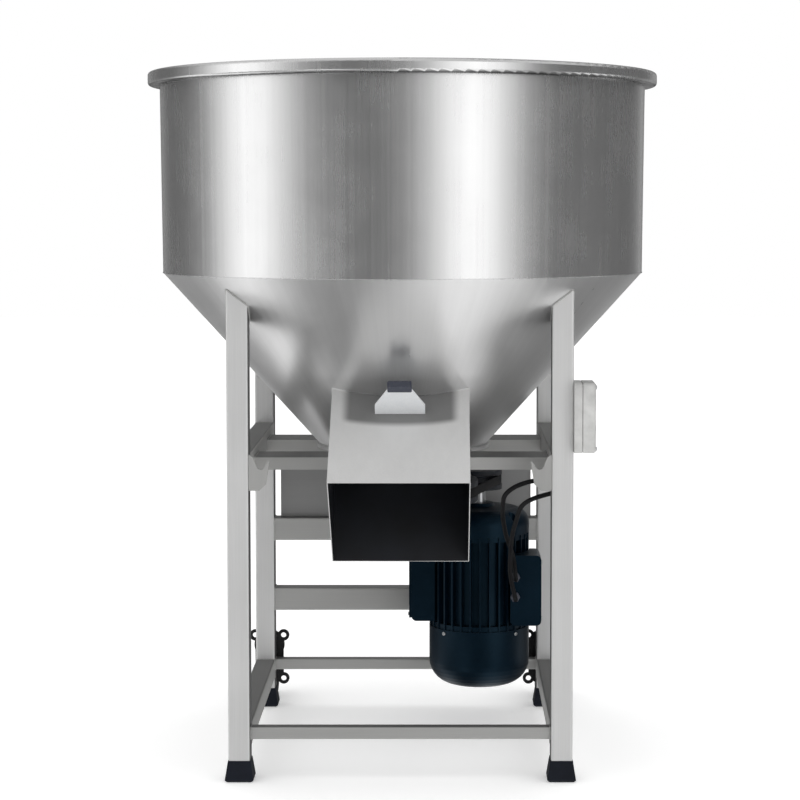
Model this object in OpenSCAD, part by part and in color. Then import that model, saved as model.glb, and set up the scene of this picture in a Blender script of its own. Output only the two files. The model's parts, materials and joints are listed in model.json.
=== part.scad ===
// Free-standing vertical powder mixer: a sheet steel hopper on a square tube frame.
// A paddle shaft stands on the hopper axis. A belt drives it from a motor hung on the rear rails.
// The front of the cone discharges through a slide gate into a sloped chute.
// The origin lies on the floor on the hopper axis. +X is right, +Y is back, +Z is up.

/* [Frame] */
// Outside width of the frame
frame_w = 600; // [560:5:620]
// Outside depth of the frame
frame_d = 600; // [560:5:620]
// Side of the square leg tube
leg_w = 38; // [34:1:44]
// Wall of the frame tubes
tube_wall = 2; // [1.5:0.5:3]
// Outside corner radius of the frame tubes
tube_r = 3.5; // [3.2:0.1:5]
// Height of a foot below its leg
foot_h = 37; // [25:1:50]
// Width of a foot where it meets the floor
foot_base_w = 50; // [46:1:60]
// Width of a foot where it meets the leg
foot_top_w = 39.5; // [39:0.5:45]
// Height of the plug inside the leg tube
foot_plug_h = 22; // [10:1:40]
// Underside of the slim lower rails
slim_rail_z = 73; // [60:1:110]
// Height and depth of the slim lower rails
slim_rail_w = 22; // [18:1:30]
// Underside of the side lower rails
side_rail_z = 57; // [45:1:100]
// Underside of the rear middle rail
middle_rail_z = 195; // [180:1:210]
// Underside of the rear upper rail
upper_rail_z = 336; // [320:1:345]
// Height of the two rear rails that carry the motor
motor_rail_h = 45; // [38:1:55]

/* [Support] */
// Top of the two channels that carry the hopper
platform_z = 556; // [540:1:580]
// Height of a support channel
channel_h = 22; // [16:1:30]
// Depth of a support channel from front to back
channel_d = 95; // [80:1:100]
// Distance of a channel's nearer edge from the hopper axis
channel_y = 95; // [88:1:100]
// Sheet thickness of a channel
channel_t = 3; // [2:0.5:4]
// How far the upper side rails stand above the channels
side_rise = 16; // [0:1:30]
// Thickness of a hook plate
hook_t = 5; // [3:0.5:8]
// Underside of a hook plate
hook_z = 511; // [480:1:530]
// Width of the rear guard panel
guard_w = 500; // [440:5:512]
// Height of the rear guard panel above its rail
guard_h = 150; // [100:1:160]
// Return flange of the rear guard panel
guard_flange = 14; // [8:1:18]

/* [Hopper] */
// Outside diameter of the barrel at its top
barrel_d = 892; // [884:2:930]
// Outside diameter where the barrel meets the cone
seam_d = 884; // [874:2:920]
// Outside diameter of the cone at the floor plate
cone_d = 310; // [304:1:330]
// Height of the cone
cone_h = 319; // [300:1:340]
// Height of the barrel from the seam to its open top
barrel_h = 364; // [300:2:420]
// Sheet thickness of the hopper
sheet_t = 2; // [1.5:0.5:3]
// Height of the rim band
rim_h = 24; // [18:1:30]
// How far the rim band stands out from the barrel
rim_out = 21.5; // [16:0.5:28]
// Corner radius of the rim band
rim_r = 6; // [3:0.5:8]
// Thickness of the rim's rolled band
rim_sheet = 3; // [2:0.5:4]
// Thickness of the hopper floor plate
floor_t = 6; // [4:0.5:8]
// How far the floor plate reaches past the cone
floor_lip = 5; // [2:0.5:8]

/* [Discharge] */
// Outside width of the chute
chute_w = 240; // [200:2:260]
// Sheet thickness of the chute
chute_t = 2; // [1.5:0.5:3]
// Height above the cone's foot at which the chute top meets the cone
chute_top_rise = 109; // [100:1:120]
// How far the front edge of the chute top stands from the hopper axis
chute_reach = 430; // [400:2:440]
// How far the chute top falls towards its front edge
chute_fall = 129; // [110:1:140]
// How far the lower lip stands from the hopper axis
lip_reach = 253; // [240:1:265]
// How far the lower lip hangs below the support channels
lip_drop = 176; // [150:1:190]
// Inside width of the outlet neck
neck_w = 80; // [60:1:84]
// Inside height of the outlet neck along the cone wall
neck_h = 90; // [70:1:94]
// Wall of the outlet neck
neck_t = 3; // [2:0.5:4]
// Distance along the cone wall from its foot to the outlet neck
neck_s = 30; // [28:1:34]
// Distance of the gate plate from the cone wall
gate_off = 43; // [40:1:46]
// Width of the gate plate
gate_w = 87; // [87:1:94]
// Thickness of the gate plate
gate_t = 3; // [2:0.5:4]
// Straight length of the gate plate above the chute top
gate_neck = 21.5; // [12:0.5:30]
// Tapered length of the gate plate above that
gate_taper = 39; // [30:1:50]
// Width of the grip
grip_w = 42; // [36:1:60]
// Height of the grip
grip_h = 14; // [10:1:20]
// Thickness of the grip
grip_t = 14; // [8:1:20]
// Thickness of a gate guide
guide_t = 6; // [4:0.5:8]
// How far the guide lips reach over the gate plate
guide_lip = 6; // [3:0.5:8]

/* [Mixing shaft] */
// Diameter of the main shaft
shaft_d = 35; // [30:1:40]
// Height of the shaft top above the seam
shaft_rise = 210; // [180:1:210]
// Height of the lower paddle above the floor plate
low_paddle_z = 42; // [40:1:60]
// Height of the middle paddle above the floor plate
mid_paddle_z = 210; // [190:1:230]
// Height of the upper paddle above the floor plate
top_paddle_z = 410; // [380:1:440]
// Tip radius of the lower paddle
low_reach = 145; // [110:1:150]
// Tip radius of the middle paddle
mid_reach = 285; // [220:1:300]
// Tip radius of the upper paddle
top_reach = 390; // [300:1:405]
// Blade width of the lower paddle
low_blade_w = 40; // [30:1:50]
// Blade width of the middle and upper paddles
blade_w = 60; // [40:1:75]
// Blade thickness
blade_t = 6; // [4:0.5:8]
// Pitch of the blades from level
blade_pitch = 40; // [20:1:55]
// Outside diameter of a paddle hub
hub_d = 60; // [56:1:70]
// Length of a paddle hub
hub_h = 56; // [50:1:64]

/* [Bearing] */
// Outside diameter of the bearings
bearing_d = 62; // [58:1:70]
// Width of a bearing
bearing_h = 16; // [12:1:18]
// Wall of the bearing housing
housing_t = 9; // [6:0.5:12]
// Length of the bearing housing below the floor plate
housing_h = 56; // [50:1:58]
// Diameter of the housing flange
flange_d = 150; // [130:2:170]
// Thickness of the housing flange
flange_t = 10; // [8:1:14]
// Running clearance of each shaft in its bearings
running_gap = 0.05; // [0.02:0.01:0.1]

/* [Belt drive] */
// Outside diameter of the motor pulley
motor_pulley_d = 88; // [80:1:94]
// Outside diameter of the driven pulley
driven_pulley_d = 280; // [260:2:290]
// Width of both pulleys
pulley_h = 38; // [32:1:40]
// Height of the belt's middle above the floor
belt_z = 474; // [472:1:475]
// Width of the belt at its outer face
belt_w = 17; // [13:1:20]
// Thickness of the belt
belt_t = 11; // [8:1:13]
// How deep the belt's outer face lies in the pulleys
belt_sink = 1; // [0:0.5:3]

/* [Motor] */
// Distance of the motor axis right of the hopper axis
motor_x = 145; // [140:1:150]
// Diameter over the cooling fins
motor_d = 194; // [186:1:196]
// Depth of the cooling fins
fin_h = 12; // [8:1:15]
// Thickness of a cooling fin
fin_t = 3; // [2:0.5:4]
// Number of cooling fins
fin_count = 32; // [24:1:36]
// Underside of the motor
motor_z = 76; // [60:1:90]
// Height of the fan cowl
cowl_h = 114; // [100:1:120]
// Radius at the lower edge of the fan cowl
cowl_r = 46; // [30:1:60]
// Sheet thickness of the fan cowl
cowl_t = 2.5; // [2:0.5:3]
// Height of the finned body
stator_h = 182; // [178:1:190]
// Height of the domed end bell
bell_h = 56; // [46:1:60]
// Diameter of the motor shaft
motor_shaft_d = 24; // [20:1:28]
// Thickness of the mounting plate behind the motor
mount_t = 10; // [6:1:10]
// Width of the mounting plate
mount_w = 160; // [140:2:180]
// Height of the boxes beside the motor
box_h = 135; // [110:1:145]
// Height of the boxes above the bottom of the finned body
box_rise = 13; // [4:1:24]

/* [Switch box] */
// Underside of the switch box
switch_z = 578; // [576:1:600]
// Height of the switch box
switch_h = 121; // [100:1:140]
// Depth of the switch box from front to back
switch_d = 76; // [70:1:90]
// Thickness of the base of the switch box
switch_base_t = 13.5; // [10:0.5:16]
// Thickness of the gasket between base and cover
gasket_t = 1.5; // [1:0.5:3]
// Thickness of the cover of the switch box
switch_cover_t = 22; // [18:0.5:34]
// Wall of the switch box
switch_wall = 3; // [2:0.5:4]
// Diameter of a push button
button_d = 24; // [18:1:28]
// How far a button stands out of the cover
button_out = 1.5; // [1:0.5:3]
// Travel of a button
button_travel = 4; // [2:0.5:5]

/* [Transport wheels] */
// Diameter of a transport wheel
wheel_d = 100; // [80:1:104]
// Width of a transport wheel
wheel_w = 24; // [18:1:28]
// Height of a wheel above the floor at rest
wheel_lift = 4; // [2:1:10]
// Distance of a wheel's middle from the hopper axis
wheel_x = 276; // [270:1:280]
// Distance of the wheel axle behind the leg
wheel_back = 62; // [60:1:75]
// Diameter of the wheel axle
axle_d = 12; // [10:1:14]
// Thickness of the bracket sheet
bracket_t = 4; // [3:0.5:5]
// Spacing of the eyelets from side to side
ear_dx = 57; // [54:1:62]
// Spacing of the eyelets from top to bottom
ear_dz = 88; // [80:1:96]
// Height of the lower eyelets
ear_z = 49; // [49:0.5:54]
// Diameter of an eyelet hole
ear_hole_d = 10.6; // [8:0.2:12]
// Diameter of an eyelet
ear_d = 23; // [19:1:24]

/* [Hidden] */
$fn = 96;

// Gap between curved or moving faces
gap = 0.3;
// Gap between parts that are pressed or keyed together
fit_gap = 0.02;
// Overshoot of a cutting tool past the face that it cuts
past = 1;
// Smallest inside radius of a bent sheet
min_bend = 0.5;

leg_x = (frame_w - leg_w) / 2;
leg_y = (frame_d - leg_w) / 2;
inner_x = frame_w / 2 - leg_w;
inner_y = frame_d / 2 - leg_w;
foot_chamfer = 4;

cone_z = platform_z + floor_t;
seam_z = cone_z + cone_h;
top_z = seam_z + barrel_h;
cone_r0 = cone_d / 2;
cone_r1 = seam_d / 2;
cone_slope = (cone_r1 - cone_r0) / cone_h;
cone_angle = atan(cone_slope);
// Horizontal width of the cone sheet
cone_sheet = sheet_t / cos(cone_angle);

side_top_z = platform_z + side_rise;
floor_r = cone_r0 + floor_lip;

motor_r = motor_d / 2;
mount_y = inner_y - mount_t;
// The motor lies against its plate
motor_y = mount_y - motor_r;

shaft_r = shaft_d / 2;
shaft_end_past = 3;
housing_r = bearing_d / 2 + housing_t;
shaft_end_z = belt_z - pulley_h / 2 - shaft_end_past;
shaft_top_z = seam_z + shaft_rise;
seal_h = 10;
seal_w = 9;

// Radii of the belt's outer and inner faces on each pulley
belt_out_big = driven_pulley_d / 2 - belt_sink;
belt_out_small = motor_pulley_d / 2 - belt_sink;
groove_depth = belt_t + belt_sink + 2;
// Lean of each side of the groove
groove_lean = 18;
belt_narrow = belt_t * tan(groove_lean);
belt_length = norm([motor_x, motor_y]);
belt_turn = atan2(motor_y, motor_x);
belt_lean = asin((belt_out_big - belt_out_small) / belt_length);

stator_z = motor_z + cowl_h;
bell_z = stator_z + stator_h;
neck_z = bell_z + bell_h;
// Height of the two pads that join the finned body to its plate, their width and their spacing
pad_h = 130;
pad_w = 18;
pad_dx = 92;
mount_bolt_edge = 12;
bell_shoulder = bell_h * 0.3;
box_z = stator_z + box_rise;
box_corner = 10;
terminal_d = 90;
terminal_out = 39;
lid_t = 4.5;
capacitor_out = 20;
capacitor_front = 93;
capacitor_back = 5;
capacitor_w = 58;

bolt_r = 5;
bolt_head_r = 8.5;
bolt_head_h = 5;
floor_bolt_x = 60;
floor_bolt_y = 126;
flange_bolt_r = flange_d / 2 - 13;

gate_foot_s = neck_s - 8;
switch_x = frame_w / 2;
switch_r = 7;
cover_x = switch_x + switch_base_t + gasket_t;
cover_face_x = cover_x + switch_cover_t;
button_z = [switch_z + switch_h * 0.68, switch_z + switch_h * 0.32];
// The leads leave the rear face of the leg below the side rail and enter the box beside the motor
leg_gland_z = [side_top_z - leg_w - 36, side_top_z - leg_w - 14];
motor_gland_x = motor_x + capacitor_w + 9;
motor_gland_z = [box_z + 56, box_z + 94];
motor_box_front = motor_y - capacitor_front;
gland_h = 22;
gland_r = 8;
gland_hex_h = 8;
lead_r = 4.25;
lead_end_gap = 0.5;

wheel_r = wheel_d / 2;
wheel_z = wheel_r + wheel_lift;
wheel_y = frame_d / 2 + wheel_back;
cheek_in = wheel_w / 2 + 2;
fender_w = 2 * (cheek_in + bracket_t);

// Points of each lead, as its share of the way between its glands and then its offset in x, y and z
control_points = [
    [0, 0, 0, 0], [0, -0.2, 8, 0], [0, -1.9, 18.8, -0.2], [0, -6.7, 29.7, -0.9],
    [0, -14.8, 39.8, -1.9], [0, -27.2, 47.9, -3.5], [0, -43.5, 54.9, -6.4], [0.08, -55.3, 43, 5.8],
    [0.15, -65.6, 35.8, 13.6], [0.23, -71.9, 27.6, 21.5], [0.31, -74.2, 20.6, 27.2], [0.38, -71.4, 16.8, 29.1],
    [0.46, -66, 11.5, 34.6], [0.54, -59.9, 6.7, 40.9], [0.62, -53.3, 1.5, 46.6], [0.69, -46.3, -2.8, 47.8],
    [0.77, -37.5, -13.5, 48.4], [0.85, -26.8, -25.2, 48.9], [0.92, -15.9, -35.1, 46.9], [1, -5.6, -51.1, 45.3],
    [1, -3.4, -47.2, 27.9], [1, -1.9, -39.5, 15.3], [1, -0.8, -29.7, 6.8], [1, -0.2, -18.8, 2.1],
    [1, 0, -8, 0.2], [1, 0, 0, 0]
];
motor_points = [
    [0, 0, 0, 0], [0, -0.1, 8, 0], [0, -1.7, 18.8, -0.6], [0, -6.3, 29.8, -2.2],
    [0, -14, 39.8, -5], [0, -25.7, 48.2, -9.2], [0, -39.2, 58.5, -14.9], [0.08, -45.8, 50.5, -3],
    [0.15, -50.1, 46.7, 5.2], [0.23, -50.9, 40.3, 14], [0.31, -48.9, 32.9, 20.2], [0.38, -46.7, 28.3, 23.6],
    [0.46, -43.9, 21.3, 30], [0.54, -40.7, 13.8, 36], [0.62, -37.1, 5.1, 40.4], [0.69, -33.4, -3.6, 40.2],
    [0.77, -28.4, -16.4, 41.6], [0.85, -23.3, -28.1, 43.8], [0.92, -17.8, -37.6, 43.1], [1, -9.9, -52.7, 43.6],
    [1, -6.1, -47.9, 26.7], [1, -3.3, -39.7, 14.6], [1, -1.5, -29.8, 6.5], [1, -0.4, -18.8, 1.9],
    [1, 0, -8, 0.2], [1, 0, 0, 0]
];
control_route = lead_route(control_points, leg_gland_z[1], motor_gland_z[1]);
motor_route = lead_route(motor_points, leg_gland_z[0], motor_gland_z[0]);

// Points on the hopper's outline and on the chute, as [y, z]
function cone_radius(z) = cone_r0 + (z - cone_z) * cone_slope;
chute_back = [-cone_radius(cone_z + chute_top_rise), cone_z + chute_top_rise];
chute_front = [-chute_reach, chute_back[1] - chute_fall];
chute_lip = [-lip_reach, platform_z - lip_drop];
chute_heel = [-channel_y - channel_d - gap, platform_z];

function unit(v) = v / norm(v);

// Route of a lead from the front right leg to the box beside the motor
function lead_route(points, from_z, to_z) =
    let (
        reach = gland_h + lead_end_gap,
        from = [leg_x, reach - inner_y, from_z],
        to = [motor_gland_x, motor_box_front - reach, to_z]
    )
    [for (p = points) from + p[0] * (to - from) + [p[1], p[2], p[3]]];

// Distance along the cone wall at which the gate plate leaves the chute top
function crossed(a, b) = a[0] * b[1] - a[1] * b[0];
chute_down = unit(chute_front - chute_back);
gate_foot = [-cone_r0 - gate_off * cos(cone_angle), cone_z - gate_off * sin(cone_angle)];
wall_up = [-sin(cone_angle), cos(cone_angle)];
slot_s = crossed(chute_back - gate_foot, chute_down) / crossed(wall_up, chute_down);
gate_end_s = slot_s + gate_neck + gate_taper;
guide_end_s = slot_s - 14;

// Outside radius of the barrel at a height
function barrel_radius(z) = cone_r1 + (z - seam_z) * (barrel_d / 2 - cone_r1) / (barrel_h - sheet_t);

// Points along an arc in the plane, both ends included
function arc(x, y, r, from, to, steps = 10) =
    [for (i = [0:steps]) let (a = from + (to - from) * i / steps) [x + r * cos(a), y + r * sin(a)]];

// A point on a smooth curve through p, where t counts from the first point
function on_curve(p, t) =
    let (
        last = len(p) - 1,
        i = min(floor(t), last - 1),
        f = t - i,
        a = p[max(i - 1, 0)],
        b = p[i],
        c = p[i + 1],
        d = p[min(i + 2, last)]
    )
    b + f * (c - a) / 2 + f * f * (a - 2.5 * b + 2 * c - d / 2) + f * f * f * (1.5 * (b - c) + (d - a) / 2);

// A side direction carried along the curve without twist
function carried(side, along) = unit(side - (side * along) * along);

module steel() color([0.72, 0.72, 0.72]) children();
module dull_steel() color([0.6, 0.6, 0.6]) children();
module bright_steel() color([0.82, 0.83, 0.84]) children();
module motor_paint() color([0.03, 0.12, 0.19]) children();
module black_rubber() color([0.06, 0.08, 0.12]) children();
module zinc() color([0.66, 0.67, 0.66]) children();

// Block from a low corner to a high corner
module block(low, high) translate(low) cube(high - low);

// Rectangle with round corners, from its low corner
module round_rect(w, h, r) {
    translate([r, 0]) square([w - 2 * r, h]);
    translate([0, r]) square([w, h - 2 * r]);
    for (x = [r, w - r], y = [r, h - r]) translate([x, y]) circle(r);
}

// Rectangle with round corners, centred
module centred_rect(w, h, r) translate([-w / 2, -h / 2]) round_rect(w, h, r);

// Frame tube along Z, centred on its axis
module tube_z(w, d, h) {
    linear_extrude(h) difference() {
        centred_rect(w, d, tube_r);
        centred_rect(w - 2 * tube_wall, d - 2 * tube_wall, tube_r - tube_wall);
    }
}

// Rail along X between the legs, with its front face at y and its underside at z
module rail_x(y, z, d, h) {
    translate([-inner_x, y + d / 2, z + h / 2]) rotate([0, 90, 0]) tube_z(h, d, 2 * inner_x);
}

// Rail along Y between the legs, centred on x, with its underside at z
module rail_y(x, z, w, h) {
    translate([x, inner_y, z + h / 2]) rotate([90, 0, 0]) tube_z(w, h, 2 * inner_y);
}

// Prism along X of an outline drawn in [y, z]
module along_x(x0, x1) {
    translate([x0, 0, 0]) rotate([90, 0, 90]) linear_extrude(x1 - x0) children();
}

// Solid inside of the hopper's cone, grown by a gap
module cone_space(grow) {
    translate([0, 0, cone_z])
        cylinder(r1 = cone_r0 + grow / cos(cone_angle), r2 = cone_r1 + grow / cos(cone_angle), h = cone_h);
}

// Frame of the gate: Z runs up the cone wall from its foot, and -Y points away from the wall
module at_gate() {
    translate([0, -cone_r0, cone_z]) rotate([cone_angle, 0, 0]) children();
}

module leg(side_x, side_y) {
    steel() difference() {
        translate([side_x * leg_x, side_y * leg_y, foot_h]) tube_z(leg_w, leg_w, seam_z - foot_h);
        cone_space(gap);
    }
}

// Flared foot outline in one plane
function foot_outline() = [
    [-foot_base_w / 2 + foot_chamfer, 0],
    [foot_base_w / 2 - foot_chamfer, 0],
    [foot_base_w / 2, foot_chamfer],
    [foot_top_w / 2, foot_h],
    [-foot_top_w / 2, foot_h],
    [-foot_base_w / 2, foot_chamfer]
];

module foot(side_x, side_y) {
    plug_w = leg_w - 2 * tube_wall - 2 * gap;
    black_rubber() translate([side_x * leg_x, side_y * leg_y, 0]) {
        intersection() {
            along_x(-foot_base_w, foot_base_w) polygon(foot_outline());
            rotate([0, 0, 90]) along_x(-foot_base_w, foot_base_w) polygon(foot_outline());
        }
        translate([0, 0, foot_h]) linear_extrude(foot_plug_h)
            centred_rect(plug_w, plug_w, tube_r - tube_wall);
    }
}

module front_lower_rail() dull_steel()
    rail_x(-leg_y - slim_rail_w / 2, slim_rail_z, slim_rail_w, slim_rail_w);

module rear_lower_rail() dull_steel()
    rail_x(leg_y - slim_rail_w / 2, slim_rail_z, slim_rail_w, slim_rail_w);

module side_lower_rail(side_x) dull_steel() rail_y(side_x * leg_x, side_rail_z, leg_w, leg_w);

module side_upper_rail(side_x) steel() rail_y(side_x * leg_x, side_top_z - leg_w, leg_w, leg_w);

module rear_middle_rail() dull_steel() rail_x(inner_y, middle_rail_z, leg_w, motor_rail_h);

module rear_upper_rail() dull_steel() rail_x(inner_y, upper_rail_z, leg_w, motor_rail_h);

// Places a part at each of the four bolts of the floor plate
module at_floor_bolts() {
    for (sx = [-1, 1], sy = [-1, 1]) translate([sx * floor_bolt_x, sy * floor_bolt_y, 0]) children();
}

// Channel open downwards, welded between the upper side rails
module support_channel(side_y) {
    steel() difference() {
        translate([-inner_x, side_y > 0 ? channel_y : -channel_y - channel_d, platform_z - channel_h])
            difference() {
                cube([2 * inner_x, channel_d, channel_h]);
                translate([-past, channel_t, -past])
                    cube([2 * inner_x + 2 * past, channel_d - 2 * channel_t, channel_h - channel_t + past]);
            }
        translate([0, 0, platform_z - channel_h]) at_floor_bolts()
            cylinder(r = bolt_r + gap, h = channel_h + past);
    }
}

// Sack hook, flush with the front of its leg, with a round notch open upwards
module hook_plate(side_x) {
    // Centre and radius of the notch, then the foot, the tip and the shoulder on the leg, as [x, z]
    notch = [21, 45];
    notch_r = 8;
    foot_x = 18.4;
    tip = [36.2, 50];
    shoulder_z = 63;
    outline = [
        [0, 0], [foot_x, 0], [foot_x + 11.6, 11.6], tip, tip + [-0.8, 2.3],
        notch + [notch_r, 0], notch, notch - [notch_r, 0], [9.6, notch[1] + notch_r], [7.5, shoulder_z - 5],
        [0, shoulder_z]
    ];
    steel() mirror([side_x > 0 ? 1 : 0, 0, 0])
        translate([-inner_x, -frame_d / 2 + hook_t, hook_z]) rotate([90, 0, 0])
            linear_extrude(hook_t) difference() {
                polygon(outline);
                translate(notch) circle(notch_r);
            }
}

// Sheet panel on the rear upper rail, with a return flange at its foot and its head
module rear_guard_panel() {
    dull_steel() translate([-guard_w / 2, leg_y, upper_rail_z + motor_rail_h]) {
        cube([guard_w, sheet_t, guard_h]);
        cube([guard_w, guard_flange, sheet_t]);
        translate([0, 0, guard_h - sheet_t]) cube([guard_w, guard_flange, sheet_t]);
    }
}

module barrel() {
    bright_steel() rotate_extrude() polygon([
        [cone_r1 - sheet_t, seam_z], [cone_r1, seam_z],
        [barrel_d / 2, top_z - sheet_t], [barrel_d / 2 - sheet_t, top_z - sheet_t]
    ]);
}

// Hollow rolled band that sits on the barrel's edge and is open towards the barrel
module rim_band() {
    inner = barrel_d / 2 - sheet_t;
    hidden = 2 * rim_r;
    low_z = top_z - rim_h;
    foot_r = max(barrel_radius(low_z), barrel_d / 2) + gap;
    bright_steel() rotate_extrude() difference() {
        translate([inner - hidden, low_z]) round_rect(rim_out + sheet_t + hidden, rim_h, rim_r);
        translate([inner - hidden, low_z + rim_sheet]) round_rect(
            rim_out + sheet_t + hidden - rim_sheet, rim_h - 2 * rim_sheet, max(rim_r - rim_sheet, min_bend));
        translate([0, low_z - past]) square([inner, rim_h + 2 * past]);
        translate([0, low_z - past]) square([foot_r, rim_h - sheet_t + past]);
    }
}

module hopper_cone() {
    bright_steel() difference() {
        rotate_extrude() polygon([
            [cone_r0 - cone_sheet, cone_z], [cone_r0, cone_z],
            [cone_r1, seam_z], [cone_r1 - cone_sheet, seam_z]
        ]);
        at_gate() translate([-neck_w / 2, -2 * sheet_t, neck_s]) cube([neck_w, neck_w / 2, neck_h]);
    }
}

module hopper_floor() {
    bright_steel() translate([0, 0, platform_z]) difference() {
        cylinder(r = floor_r, h = floor_t);
        translate([0, 0, -past]) cylinder(r = shaft_r + seal_w + fit_gap, h = floor_t + 2 * past);
        translate([0, 0, -past]) at_floor_bolts() cylinder(r = bolt_r + gap, h = floor_t + 2 * past);
        translate([0, 0, -past]) at_flange_bolts() cylinder(r = bolt_r + gap, h = floor_t + 2 * past);
    }
}

// Folded sheet chute: a sloped top, two sides, a steep back and a ledge on the front channel
module discharge_chute() {
    half = chute_w / 2;
    inner_y0 = -cone_r0 / 2;
    over = 10;
    up = unit(chute_heel - chute_lip);
    under_top = [-chute_down[1], chute_down[0]] * chute_t;
    off_back = [-up[1], up[0]] * chute_t;
    top_inside = chute_back - chute_down * ((chute_back[0] - inner_y0) / chute_down[0]);
    back_foot = chute_lip + off_back;
    ledge_z = platform_z + chute_t;
    outer = [top_inside, chute_front, chute_lip, chute_heel, [inner_y0, platform_z]];
    hollow = [
        top_inside + under_top,
        chute_front + under_top + chute_down * over,
        back_foot - up * over,
        back_foot + up * ((ledge_z - back_foot[1]) / up[1]),
        [inner_y0 + past, ledge_z],
        [inner_y0 + past, top_inside[1]]
    ];
    steel() difference() {
        along_x(-half, half) polygon(outer);
        along_x(-half + chute_t, half - chute_t) polygon(hollow);
        cone_space(gap);
        translate([0, 0, platform_z - past]) cylinder(r = floor_r + gap, h = floor_t + past + gap);
        at_gate() translate([-gate_w / 2 - gap, -gate_off - gate_t - gap, guide_end_s])
            cube([gate_w + 2 * gap, gate_t + 2 * gap, gate_end_s - guide_end_s]);
    }
}

// Square outlet neck on the cone with a grooved guide along each edge of the gate plate
module outlet_neck() {
    outer_w = neck_w + 2 * neck_t;
    guide_in = gate_w / 2 + gap;
    back = gate_off - gap;
    zinc() difference() {
        at_gate() {
            difference() {
                translate([-outer_w / 2, -back, neck_s - neck_t])
                    cube([outer_w, back + neck_w / 2, neck_h + 2 * neck_t]);
                translate([-neck_w / 2, -back - past, neck_s]) cube([neck_w, back + neck_w + past, neck_h]);
            }
            for (s = [-1, 1]) mirror([s > 0 ? 1 : 0, 0, 0]) translate([0, 0, gate_foot_s]) {
                length = guide_end_s - gate_foot_s;
                translate([guide_in, -gate_off - gate_t - gap - neck_t, 0])
                    cube([guide_t, gate_t + 2 * gap + 2 * neck_t, length]);
                translate([guide_in - guide_lip, -gate_off - gate_t - gap - neck_t, 0])
                    cube([guide_lip + past, neck_t, length]);
                translate([guide_in - guide_lip, -back, 0]) cube([guide_lip + past, neck_t, length]);
            }
        }
        cone_space(gap);
        at_gate() translate([-neck_w / 2, -back - past, neck_s]) cube([neck_w, back + neck_w + past, neck_h]);
    }
}

module gate_plate() {
    zinc() at_gate() translate([0, -gate_off, 0]) rotate([90, 0, 0]) linear_extrude(gate_t) polygon([
        [-gate_w / 2, gate_foot_s], [gate_w / 2, gate_foot_s],
        [gate_w / 2, slot_s + gate_neck], [grip_w / 2, gate_end_s],
        [-grip_w / 2, gate_end_s], [-gate_w / 2, slot_s + gate_neck]
    ]);
}

module gate_grip() {
    grip_r = 3;
    black_rubber() at_gate() translate([-grip_w / 2, -gate_off - gate_t / 2 - grip_t / 2, gate_end_s])
        linear_extrude(grip_h) round_rect(grip_w, grip_t, grip_r);
}

module at_flange_bolts() {
    for (a = [0:90:270]) rotate([0, 0, a]) translate([flange_bolt_r, 0, 0]) children();
}

module bearing_housing() {
    shoulder = 3;
    dull_steel() difference() {
        union() {
            translate([0, 0, platform_z - flange_t]) cylinder(r = flange_d / 2, h = flange_t);
            translate([0, 0, platform_z - housing_h]) cylinder(r = housing_r, h = housing_h);
        }
        translate([0, 0, platform_z - housing_h - past])
            cylinder(r = bearing_d / 2 - shoulder, h = housing_h + 2 * past);
        translate([0, 0, platform_z - housing_h - past])
            cylinder(r = bearing_d / 2 + fit_gap, h = bearing_h + past);
        translate([0, 0, platform_z - bearing_h]) cylinder(r = bearing_d / 2 + fit_gap, h = bearing_h + past);
        translate([0, 0, platform_z - flange_t - past]) at_flange_bolts()
            cylinder(r = bolt_r + gap, h = flange_t + 2 * past);
    }
}

// Ball bearing drawn as its two races with the shields between them
module bearing() {
    race = 4;
    shield_depth = 1;
    difference() {
        cylinder(r = bearing_d / 2, h = bearing_h);
        translate([0, 0, -past]) cylinder(r = shaft_r + running_gap, h = bearing_h + 2 * past);
        for (z = [-past, bearing_h - shield_depth]) translate([0, 0, z]) difference() {
            cylinder(r = bearing_d / 2 - race, h = shield_depth + past);
            translate([0, 0, -past]) cylinder(r = shaft_r + race, h = shield_depth + 3 * past);
        }
    }
}

module shaft_bearings() {
    bright_steel() for (z = [platform_z - housing_h, platform_z - bearing_h]) translate([0, 0, z]) bearing();
}

module shaft_seal() {
    black_rubber() translate([0, 0, platform_z]) difference() {
        cylinder(r = shaft_r + seal_w, h = seal_h);
        translate([0, 0, -past]) cylinder(r = shaft_r + running_gap, h = seal_h + 2 * past);
    }
}

// Hexagon head bolt from z = 0 downwards, with a nut under the parts that it clamps
module bolt(grip) {
    cylinder(r = bolt_head_r, h = bolt_head_h, $fn = 6);
    translate([0, 0, -grip - bolt_head_h]) cylinder(r = bolt_r, h = grip + bolt_head_h);
    translate([0, 0, -grip - bolt_head_h]) cylinder(r = bolt_head_r, h = bolt_head_h, $fn = 6);
}

// Places a part at each of the four bolts that hold the motor's foot
module at_motor_bolts() {
    for (sx = [-1, 1], z = [middle_rail_z + motor_rail_h / 2, upper_rail_z + motor_rail_h / 2])
        translate([motor_x + sx * (mount_w / 2 - mount_bolt_edge), mount_y, z]) rotate([90, 0, 0]) children();
}

module assembly_bolts() {
    zinc() {
        translate([0, 0, cone_z]) at_floor_bolts() bolt(floor_t + channel_t);
        translate([0, 0, cone_z]) at_flange_bolts() bolt(floor_t + flange_t);
        at_motor_bolts() {
            cylinder(r = bolt_head_r, h = bolt_head_h, $fn = 6);
            translate([0, 0, -mount_t + gap]) cylinder(r = bolt_r, h = mount_t);
        }
    }
}

module main_shaft() {
    bright_steel() translate([0, 0, shaft_end_z]) cylinder(r = shaft_r, h = shaft_top_z - shaft_end_z);
}

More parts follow.
